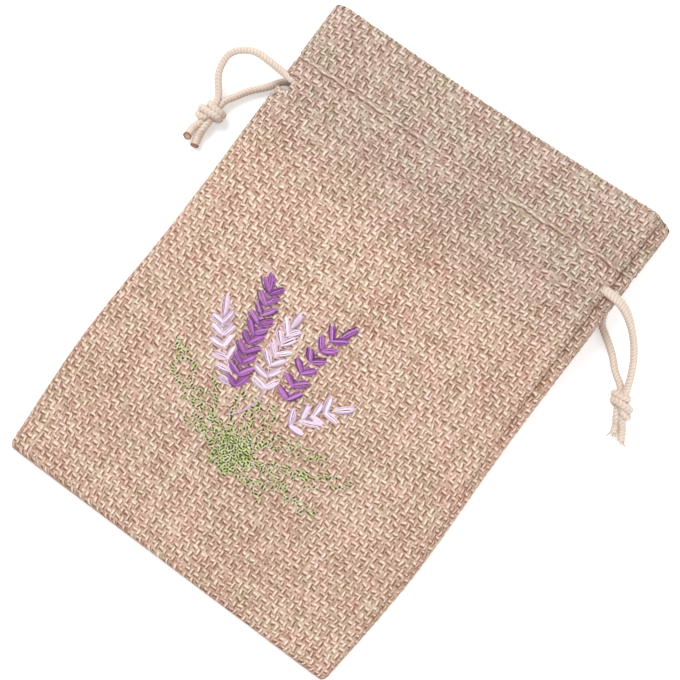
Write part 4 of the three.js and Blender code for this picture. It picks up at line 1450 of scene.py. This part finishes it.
SEAM_ENDS = (-61.7, 39.0)
SEAM_INSET = 48.4
BOTTOM_SEAM = -68.8
BOTTOM_SEAM_HEIGHT = 1.8
SEAM_POINTS = 80
ALLOWANCE_WIDTH = 5.6
ALLOWANCE_LAYERS = (0.35, -0.35)
ALLOWANCE_FACES = (0.2, -0.2)
ALLOWANCE_RIPPLE = 0.14
ALLOWANCE_COLUMNS = 7
OVERLOCK_INSET = 5.4
OVERLOCK_PITCH = 2.0
OVERLOCK_WIDE = 1.1
OVERLOCK_HIGH = 0.85
OVERLOCK_RADIUS = 0.2
OVERLOCK_STEP = 0.13
OVERLOCK_SHADE = 0.5
SLIT_FOLD_RADIUS = 0.34
SLIT_FOLD_FROM = -25.0
# How far the fold runs above and below the left slit's lane
SLIT_FOLD_REACH = (3.2, 3.3)
SLIT_FOLD_DRAFT_POINTS = 400
SLIT_FOLD_POINTS = 70
SLIT_FOLD_SIDES = 8
SLIT_FOLD_SHADE = 0.85


def allowance_strip(m, spine, side, material, name):
    """The two cloth edges of a seam turned inside, as two thin layers from its spine towards side."""
    across = np.linspace(0.0, 1.0, ALLOWANCE_COLUMNS)
    run = np.arange(len(spine))[:, None]
    ripple = ALLOWANCE_RIPPLE * np.sin(run / 3.1) * across[None, :]
    points = []
    quads = []
    total = 0
    for layer in ALLOWANCE_LAYERS:
        grids = []
        for face in ALLOWANCE_FACES:
            grid = spine[:, None] + across[None, :, None] * np.array(side)
            grid[..., 2] += layer + face + ripple
            grids.append(lie(m, grid[..., 0], grid[..., 1], grid[..., 2]))
        shell, corner = closed_shell(*grids, np.zeros(grids[0].shape[:2], bool))
        points.append(shell)
        quads.append(corner + total)
        total += len(shell)
    piece = make_piece(f"{name}_strip", np.concatenate(points), np.concatenate(quads), material)
    on_pouch(piece, "burlap_cloth", name)


def overlock_thread(m, spine, side, material, name):
    """Thread that winds over the raw edge of a seam allowance."""
    fine = evenly(spine, int(line_length(spine) / OVERLOCK_STEP))
    run = np.linspace(0.0, line_length(spine), len(fine))
    turn = 2.0 * np.pi * run / OVERLOCK_PITCH
    wound = fine + OVERLOCK_WIDE * np.cos(turn)[:, None] * np.array(side)
    wound[:, 2] += OVERLOCK_HIGH * np.sin(turn)
    wound = lie(m, wound[:, 0], wound[:, 1], wound[:, 2])
    winding = round_thread(wound, OVERLOCK_RADIUS)
    piece = thread_piece(f"{name}_winding", [winding], material, [OVERLOCK_SHADE])
    on_pouch(piece, "sewing_thread", f"{name}_thread")


def slit_fold(m, material):
    """The turned edge of the cloth round the left slit, as one rounded fold."""
    above, below = SLIT_FOLD_REACH
    y = np.linspace(LEFT_LANE + above, LEFT_LANE - below, SLIT_FOLD_DRAFT_POINTS)
    angle = left_slit_angle(y)
    shown = angle > SLIT_FOLD_FROM
    y = y[shown]
    angle = np.radians(angle[shown])
    r = edge_height(m, y) / 2
    inner = r - m.ground_depth + 0.1
    line = lie(m, r - m.half_width - inner * np.cos(angle), y, r + inner * np.sin(angle))
    fold = round_thread(evenly(line, SLIT_FOLD_POINTS), SLIT_FOLD_RADIUS, SLIT_FOLD_SIDES)
    piece = thread_piece("left_slit_fold", [fold], material, [SLIT_FOLD_SHADE])
    on_pouch(piece, "burlap_cloth")


class SACHET_OT_seams(bpy.types.Operator):
    """Turns in the seam allowances and winds the overlock thread on them"""

    bl_idname = "sachet.seams"
    bl_label = "Seam allowances"

    def execute(self, context):
        m, colours = settings(context)
        cloth = stored("burlap_ground_painted_shade", shaded_ground, colours)
        thread = sewing_thread(colours)
        y = np.linspace(*SEAM_ENDS, SEAM_POINTS)
        x = np.linspace(-SEAM_INSET, SEAM_INSET, SEAM_POINTS)
        level = np.ones(SEAM_POINTS)
        middle = edge_height(m, y) / 2
        # Each seam's name, its line, the way inside, and which way its thread winds
        seams = (("left", (-SEAM_INSET * level, y, middle), (1.0, 0.0, 0.0), -1.0),
                 ("right", (SEAM_INSET * level, y, middle), (-1.0, 0.0, 0.0), -1.0),
                 ("bottom", (x, BOTTOM_SEAM * level, BOTTOM_SEAM_HEIGHT * level), (0.0, 1.0, 0.0), 1.0))
        for name, lines, inward, winding in seams:
            spine = np.stack(lines, axis=1)
            inward = np.array(inward)
            allowance_strip(m, spine, ALLOWANCE_WIDTH * inward, cloth, f"{name}_seam_allowance")
            edge = spine + OVERLOCK_INSET * inward
            overlock_thread(m, edge, winding * inward, thread, f"{name}_overlock")
        slit_fold(m, thread)
        return {"FINISHED"}


# Channel stitches

STITCH_POINTS = 9
STITCH_LENGTH = 2.3
STITCH_GAP = 0.9
STITCH_RADIUS = 0.14
STITCH_ARCH = 0.6
STITCH_ENDS = {"front": 0.55, "back": 0.7}
STITCH_SHADES = (0.25, 0.7)


def stitch_row(m, panel, y):
    """Running stitches across a panel, each a short thread whose ends go down into the cloth."""
    reach = m.half_width - m.neck / 2
    pace = STITCH_LENGTH + STITCH_GAP
    count = int(2.0 * reach / pace)
    start = -count * pace / 2
    q = np.linspace(0.0, 1.0, STITCH_POINTS)
    arch = STITCH_ARCH * np.sin(np.pi * q) ** 0.5
    below = m.stitch_dip + STITCH_ENDS[panel]
    rows = []
    for k in range(count):
        x = start + k * pace + STITCH_LENGTH * q
        place = y + 0.0 * x
        z = below - arch
        if panel == "front":
            half = m.half_width - edge_height(m, place) / 2
            z = m.neck + front_swell(m, x, place, half) - z
        rows.append(round_thread(lie(m, x, place, z), STITCH_RADIUS))
    return rows


class SACHET_OT_channel_stitches(bpy.types.Operator):
    """Sews the two stitch lines of the cord channel on the front and the back"""

    bl_idname = "sachet.channel_stitches"
    bl_label = "Channel stitches"

    def execute(self, context):
        m, colours = settings(context)
        thread = sewing_thread(colours)
        random = np.random.default_rng(SEED + 21)
        for panel in ("front", "back"):
            for label, y in (("upper", m.upper_stitch), ("lower", m.lower_stitch)):
                rows = stitch_row(m, panel, y)
                shades = random.uniform(*STITCH_SHADES, len(rows))
                piece = thread_piece(f"{panel}_{label}_stitches", rows, thread, shades)
                on_pouch(piece, "sewing_thread", f"{panel}_{label}_channel_stitch")
        return {"FINISHED"}


# Embroidered flower spikes

# Stems and tips are places on the lying front; pairs counts the petals up each stem
SPIKES = (
    SimpleNamespace(name="lilac_spike_left", pairs=6, colour="lilac", covered=2,
                    stem=((-14.4, -23.6), (-18.5, -19.7), (-22.3, -16.8), (-25.2, -12.8)),
                    tip=((-25.9, -11.3), (-28.5, -6.4))),
    SimpleNamespace(name="violet_spike_left", pairs=10, colour="violet", covered=0,
                    stem=((-13.4, -23.4), (-15.1, -19.3), (-16.6, -14.4), (-17.8, -8.3), (-20.1, -0.3)),
                    tip=((-20.5, 0.5), (-22.5, 4.3))),
    SimpleNamespace(name="lilac_spike_middle", pairs=6, colour="lilac", covered=0,
                    stem=((-7.2, -19.6), (-9.3, -15.0), (-9.9, -11.3), (-10.4, -5.8)),
                    tip=((-10.7, -3.5), (-10.4, 0.8))),
    SimpleNamespace(name="violet_spike_right", pairs=6, colour="violet", covered=0,
                    stem=((-0.9, -18.7), (-1.8, -16.0), (-2.0, -11.9), (-1.9, -7.9), (-0.6, -0.4)),
                    tip=((0.8, 1.4), (2.8, 5.5))),
    SimpleNamespace(name="lilac_spike_right", pairs=4, colour="lilac", covered=0,
                    stem=((3.3, -23.6), (4.8, -20.9), (6.5, -18.3), (8.4, -16.0)),
                    tip=((10.5, -13.8), (14.0, -10.8))))
TRAILING_STEM = ((-7.1, -19.9), (-6.8, -22.8), (-7.5, -25.8), (-8.9, -28.3), (-11.1, -30.6))
# Angle of the petals from the stem, and how far one may be off it, in degrees
PETAL_SPREAD = 47.0
PETAL_TURN = (-11.0, 11.0)
# How far a petal may start along the stem, and its length and width as shares of the usual ones
PETAL_SHIFT = (-0.2, 0.3)
PETAL_LONG = (0.86, 1.04)
PETAL_WIDE = (0.88, 1.14)
THREADS_PER_PETAL = 6
# How far a thread may start, end or lie out of line, as shares of its petal
THREAD_START = (-0.12, 0.1)
THREAD_END = (-0.16, 0.08)
THREAD_STRAY = (-0.16, 0.16)
THREAD_SHADE = (-0.45, 0.3)
# Painted highlight and shade across a petal: its middle thread takes the palest tone, its outer threads the
# darkest
PETAL_SHADES = {"violet": (0.0, 0.8), "lilac": (0.1, 1.0)}
PETAL_RAISED = {"violet": 0.12, "lilac": 0.0}
PETAL_ROOT = -0.2
PETAL_ARCH = 0.5
PETAL_CROWN = 0.35
PETAL_FILL = 0.44
PETAL_THREAD = 0.075
STEM_LIFT = 0.03
STEM_RADIUS = 0.1
STEM_OVERLAP = 1.15
STEM_SWAY = (-0.35, 0.35)
STEM_SHADES = (0.1, 0.8)
SHADE_LIMITS = (-0.2, 1.0)
TRAIL_ASIDE = (-0.16, 0.16)
TRAIL_LIFT = 0.05
TRAIL_RADIUS = 0.11
TRAIL_SHADE = 0.25


def flat_line(points, count):
    """A smooth line through places on the front, at even steps."""
    return smooth_line(np.array([(*p, 0.0) for p in points]), count)[:, :2]


def satin_petal(m, random, root, heading, length, width, raised):
    """Threads of one satin stitch petal, side by side from its root to its blunt, uneven tip."""
    ahead = np.array([math.cos(heading), math.sin(heading)])
    side = np.array([-ahead[1], ahead[0]])
    q = np.linspace(0.0, 1.0, STITCH_POINTS)
    swell = np.sin(np.pi * (0.06 + 0.8 * q)) ** 0.5
    threads = []
    for share in np.linspace(-1.0, 1.0, THREADS_PER_PETAL):
        first = random.uniform(*THREAD_START)
        last = 1.0 + random.uniform(*THREAD_END)
        far = (first + (last - first) * q) * length
        aside = (share + random.uniform(*THREAD_STRAY)) * PETAL_FILL * width
        place = root + far[:, None] * ahead + (aside * swell)[:, None] * side
        arch = PETAL_ARCH * np.sin(np.pi * q) ** 0.4 * (1.0 - PETAL_CROWN * share ** 2)
        line = front_point(m, place[:, 0], place[:, 1], raised + PETAL_ROOT + arch)
        threads.append(round_thread(line, PETAL_THREAD * (1.0 + swell)))
    return threads


def spike_threads(m, random, spike):
    """Threads and shades of one flower spike: petals in pairs up its stem, and one petal at its tip.

    The lowest right-hand petals that the next spike covers are left out.
    """
    roots = flat_line(spike.stem, spike.pairs)
    axes = unit(np.gradient(roots, axis=0))
    tip_root, tip = np.array(spike.tip)
    petals = [(tip_root, unit(tip - tip_root), 0.0, np.linalg.norm(tip - tip_root))]
    for place, (root, axis) in enumerate(zip(roots, axes)):
        for turn in (1.0, -1.0):
            spread = turn * math.radians(PETAL_SPREAD + random.uniform(*PETAL_TURN))
            start = root + axis * random.uniform(*PETAL_SHIFT)
            length = m.petal_length * random.uniform(*PETAL_LONG)
            if turn > 0.0 or place >= spike.covered:
                petals.append((start, axis, spread, length))
    low, high = PETAL_SHADES[spike.colour]
    # Painted highlight down the middle of each petal and painted shade on its sides
    light = high - (high - low) * np.abs(np.linspace(-0.9, 0.9, THREADS_PER_PETAL))
    threads = []
    shades = []
    for root, axis, spread, length in petals:
        way = math.atan2(axis[1], axis[0]) + spread
        width = m.petal_width * random.uniform(*PETAL_WIDE)
        threads += satin_petal(m, random, root, way, length, width, PETAL_RAISED[spike.colour])
        shades += list(light + random.uniform(*THREAD_SHADE, THREADS_PER_PETAL))
    # Short slanting stitches run up the stem, between the roots of the petals
    q = np.linspace(0.0, 1.0, STITCH_POINTS)[:, None]
    line = flat_line((*spike.stem, tip_root), 3 * spike.pairs)
    for start, end in zip(line[:-1], line[1:]):
        sway = random.uniform(*STEM_SWAY, 2)
        place = start + sway + (end - start - sway) * STEM_OVERLAP * q
        stitch = front_point(m, place[:, 0], place[:, 1], STEM_LIFT)
        threads.append(round_thread(stitch, STEM_RADIUS))
        shades.append(random.uniform(*STEM_SHADES))
    return threads, np.clip(shades, *SHADE_LIMITS)


class SACHET_OT_flower_spikes(bpy.types.Operator):
    """Embroiders the violet and lilac flower spikes in satin stitch"""

    bl_idname = "sachet.flower_spikes"
    bl_label = "Flower spikes"

    def execute(self, context):
        m, colours = settings(context)
        random = np.random.default_rng(SEED + 31)
        for spike in SPIKES:
            name = f"{spike.colour}_rayon_thread"
            tints = [getattr(colours, spike.colour + part) for part in ("_dark", "_middle", "")]
            material = stored(name, spun_thread, name, *tints, roughness=0.42, ply=0.35)
            threads, shades = spike_threads(m, random, spike)
            if spike.name == "lilac_spike_middle":
                trail = flat_line(TRAILING_STEM, STITCH_POINTS)
                for aside in TRAIL_ASIDE:
                    line = front_point(m, trail[:, 0] + aside, trail[:, 1], TRAIL_LIFT)
                    threads.append(round_thread(line, TRAIL_RADIUS))
                    shades = np.append(shades, TRAIL_SHADE)
            piece = thread_piece(f"{spike.name}_stitches", threads, material, shades)
            on_pouch(piece, f"{spike.colour}_thread", spike.name)
        return {"FINISHED"}


# Embroidered leaves

# Middle lines of the leaf fronds, as places on the lying front
FRONDS = (
    ((-32.3, -22.4), (-30.2, -25.7), (-27.3, -29.5), (-23.0, -31.9), (-16.3, -34.6), (-9.5, -38.4)),
    ((-31.8, -22.8), (-28.8, -24.3), (-25.0, -26.4), (-23.0, -29.0), (-17.5, -31.2), (-10.5, -35.0)),
    ((-19.2, -25.7), (-16.8, -28.6), (-14.6, -31.5), (-10.0, -35.2)),
    ((-19.4, -37.5), (-15.3, -37.4), (-9.5, -38.6)),
    ((-11.0, -23.8), (-10.2, -27.1), (-9.0, -31.4), (-7.0, -36.0)),
    ((-7.6, -23.0), (-6.8, -26.4), (-6.2, -31.0), (-6.0, -35.0)),
    ((-4.9, -24.3), (-4.6, -27.6), (-4.0, -31.0), (-4.0, -35.0)),
    ((-1.9, -21.9), (-1.7, -25.2), (-1.8, -29.0), (-2.8, -34.0)),
    ((1.5, -27.1), (1.1, -30.0), (-1.0, -34.0)),
    ((15.9, -25.7), (12.4, -27.0), (7.4, -27.2), (3.9, -29.5), (0.0, -33.0), (-2.0, -36.0)),
    ((24.3, -27.4), (19.5, -28.9), (14.0, -30.5), (8.2, -33.6), (3.4, -35.4), (-1.0, -38.0)),
    ((17.8, -33.4), (14.0, -32.8), (9.0, -33.2)),
    ((21.2, -38.4), (16.0, -39.0), (11.1, -37.7), (5.8, -39.7), (0.0, -41.4)),
    ((11.1, -37.7), (7.2, -36.9), (3.0, -36.8), (-1.0, -38.4)),
    ((8.2, -43.0), (4.6, -41.9), (0.0, -41.6)))
TUFT_CENTRE = (-4.5, -37.8)
TUFT_HALF = (5.2, 5.2)
TUFT_REACH = 1.25
TUFT_SPACING = (0.8, 0.7)
TUFT_SWAY = 0.4
FROND_SWAY = 0.3
FROND_HALF = 1.3
# How ragged the tuft's rim is, and how far its loops stray
TUFT_RIM = (-0.6, 0.45)
TUFT_STRAY = (-0.22, 0.22)
# A loop is two bowed threads: half their length, their bow, their distance from the hole and their radius
LOOP_SPACING = 0.72
LOOP_HALF = (0.32, 0.66)
LOOP_BOW = (-0.15, 0.15)
LOOP_ASIDE = (0.26, 0.42)
LOOP_RADIUS = (0.1, 0.17)
LOOP_TURN = (2.0, 3.6)
LOOP_SIDES = 5
LOOP_CROWN = 0.18
LOOP_DROP = 0.28
# Needle holes are painted shade: dark blobs laid over the cloth
HOLE_HALF = (0.22, 0.44)
HOLE_RADIUS = (0.16, 0.26)
HOLE_LIFT = 0.1
HOLE_END = 0.02
HOLE_SHADE = -0.25
# Darkest and palest threads
FROND_SHADES = (0.4, 1.0)
TUFT_SHADES = (0.15, 1.1)


def bowed_stitch(m, random, x, y, heading):
    """A short thread beside a place, bowed a little, as half of a loop stitch."""
    long = random.uniform(*LOOP_HALF)
    bow = random.uniform(*LOOP_BOW)
    aside = random.uniform(*LOOP_ASIDE)
    q = np.linspace(-1.0, 1.0, STITCH_POINTS)
    across = aside + bow * (1.0 - q ** 2)
    px = x + long * q * math.cos(heading) - across * math.sin(heading)
    py = y + long * q * math.sin(heading) + across * math.cos(heading)
    line = front_point(m, px, py, LOOP_CROWN - LOOP_DROP * q ** 2)
    return round_thread(line, random.uniform(*LOOP_RADIUS), LOOP_SIDES)


def painted_hole_shade(m, random, x, y, heading):
    """Painted shade of a needle hole: a dark blob over the cloth, a little longer than wide."""
    long = random.uniform(*HOLE_HALF)
    thick = random.uniform(*HOLE_RADIUS)
    q = np.linspace(-1.0, 1.0, STITCH_POINTS)
    px = x + long * q * math.cos(heading)
    py = y + long * q * math.sin(heading)
    round_ends = np.sqrt(np.clip(1.0 - q ** 2, 0.0, 1.0))
    return round_thread(front_point(m, px, py, HOLE_LIFT), HOLE_END + thick * round_ends, LOOP_SIDES)


def along_a_yarn(random, count, sway):
    """Headings along one yarn or the other, each off by up to sway."""
    return QUARTER * random.integers(0, 2, count) + random.uniform(-sway, sway, count)


def frond_places(random, frond):
    """Loops along a frond, strewn over its width, heading along one yarn or the other."""
    count = int(line_length(np.array(frond)) / LOOP_SPACING)
    line = flat_line(frond, count)
    ahead = unit(np.gradient(line, axis=0))
    side = np.stack([-ahead[:, 1], ahead[:, 0]], axis=1)
    step = random.uniform(-FROND_HALF, FROND_HALF, count)
    return line + side * step[:, None], along_a_yarn(random, count, FROND_SWAY)


def tuft_places(random):
    """Loops of the dense tuft where the stems meet, on an uneven grid that thins out at its rim."""
    places = []
    wide, high = (TUFT_REACH * half for half in TUFT_HALF)
    for row, y in enumerate(np.arange(-high, high, TUFT_SPACING[1])):
        for column in np.arange(-wide, wide, TUFT_SPACING[0]):
            x = column + TUFT_SPACING[0] / 2 * (row % 2)
            rim = 1.0 + random.uniform(*TUFT_RIM)
            if (x / TUFT_HALF[0]) ** 2 + (y / TUFT_HALF[1]) ** 2 < rim:
                places.append((TUFT_CENTRE[0] + x, TUFT_CENTRE[1] + y))
    places = np.array(places) + random.uniform(*TUFT_STRAY, (len(places), 2))
    return places, along_a_yarn(random, len(places), TUFT_SWAY)


class SACHET_OT_leaf_spray(bpy.types.Operator):
    """Embroiders the leaf spray in small loop stitches"""

    bl_idname = "sachet.leaf_spray"
    bl_label = "Leaf spray"

    def execute(self, context):
        m, colours = settings(context)
        material = stored("leaf_rayon_thread", spun_thread, "leaf_rayon_thread", colours.leaf_dark,
                          colours.leaf_middle, colours.leaf, roughness=0.5, ply=0.4)
        random = np.random.default_rng(SEED + 41)
        groups = [(*frond_places(random, frond), FROND_SHADES) for frond in FRONDS]
        groups.append((*tuft_places(random), TUFT_SHADES))
        tubes = []
        shades = []
        for places, headings, span in groups:
            for (x, y), heading in zip(places, headings):
                tubes.append(bowed_stitch(m, random, x, y, heading))
                tubes.append(bowed_stitch(m, random, x, y, heading + random.uniform(*LOOP_TURN)))
                tubes.append(painted_hole_shade(m, random, x, y, heading))
                shades += [*random.uniform(*span, 2), HOLE_SHADE]
        piece = thread_piece("leaf_spray_stitches", tubes, material, shades)
        on_pouch(piece, "leaf_thread", "leaf_spray")
        return {"FINISHED"}


# Sidebar panel and running

class SACHET_PT_sidebar(bpy.types.Panel):
    """Lists the sachet's makers, sizes and colours"""

    bl_idname = "SACHET_PT_sidebar"
    bl_label = "Lavender sachet"
    bl_space_type = "VIEW_3D"
    bl_region_type = "UI"
    bl_category = "Sachet"

    def draw(self, context):
        for maker in MAKERS:
            self.layout.operator(maker.bl_idname)
        for group in (context.scene.sachet_sizes, context.scene.sachet_colours):
            for name in group.__annotations__:
                self.layout.prop(group, name)


MAKERS = (SACHET_OT_stage, SACHET_OT_cords, SACHET_OT_filling, SACHET_OT_panels, SACHET_OT_seams,
          SACHET_OT_channel_stitches, SACHET_OT_flower_spikes, SACHET_OT_leaf_spray)
CLASSES = (SachetSizes, SachetColours, *MAKERS, SACHET_PT_sidebar)


def register():
    """Adds the classes and their settings to Blender."""
    for item in CLASSES:
        bpy.utils.register_class(item)
    bpy.types.Scene.sachet_sizes = bpy.props.PointerProperty(type=SachetSizes)
    bpy.types.Scene.sachet_colours = bpy.props.PointerProperty(type=SachetColours)


def unregister():
    """Takes the classes and their settings out again."""
    del bpy.types.Scene.sachet_colours
    del bpy.types.Scene.sachet_sizes
    for item in reversed(CLASSES):
        bpy.utils.unregister_class(item)


def main():
    """Makes every piece in order."""
    register()
    for maker in MAKERS:
        group, name = maker.bl_idname.split(".")
        getattr(getattr(bpy.ops, group), name)()


if __name__ == "__main__":
    main()
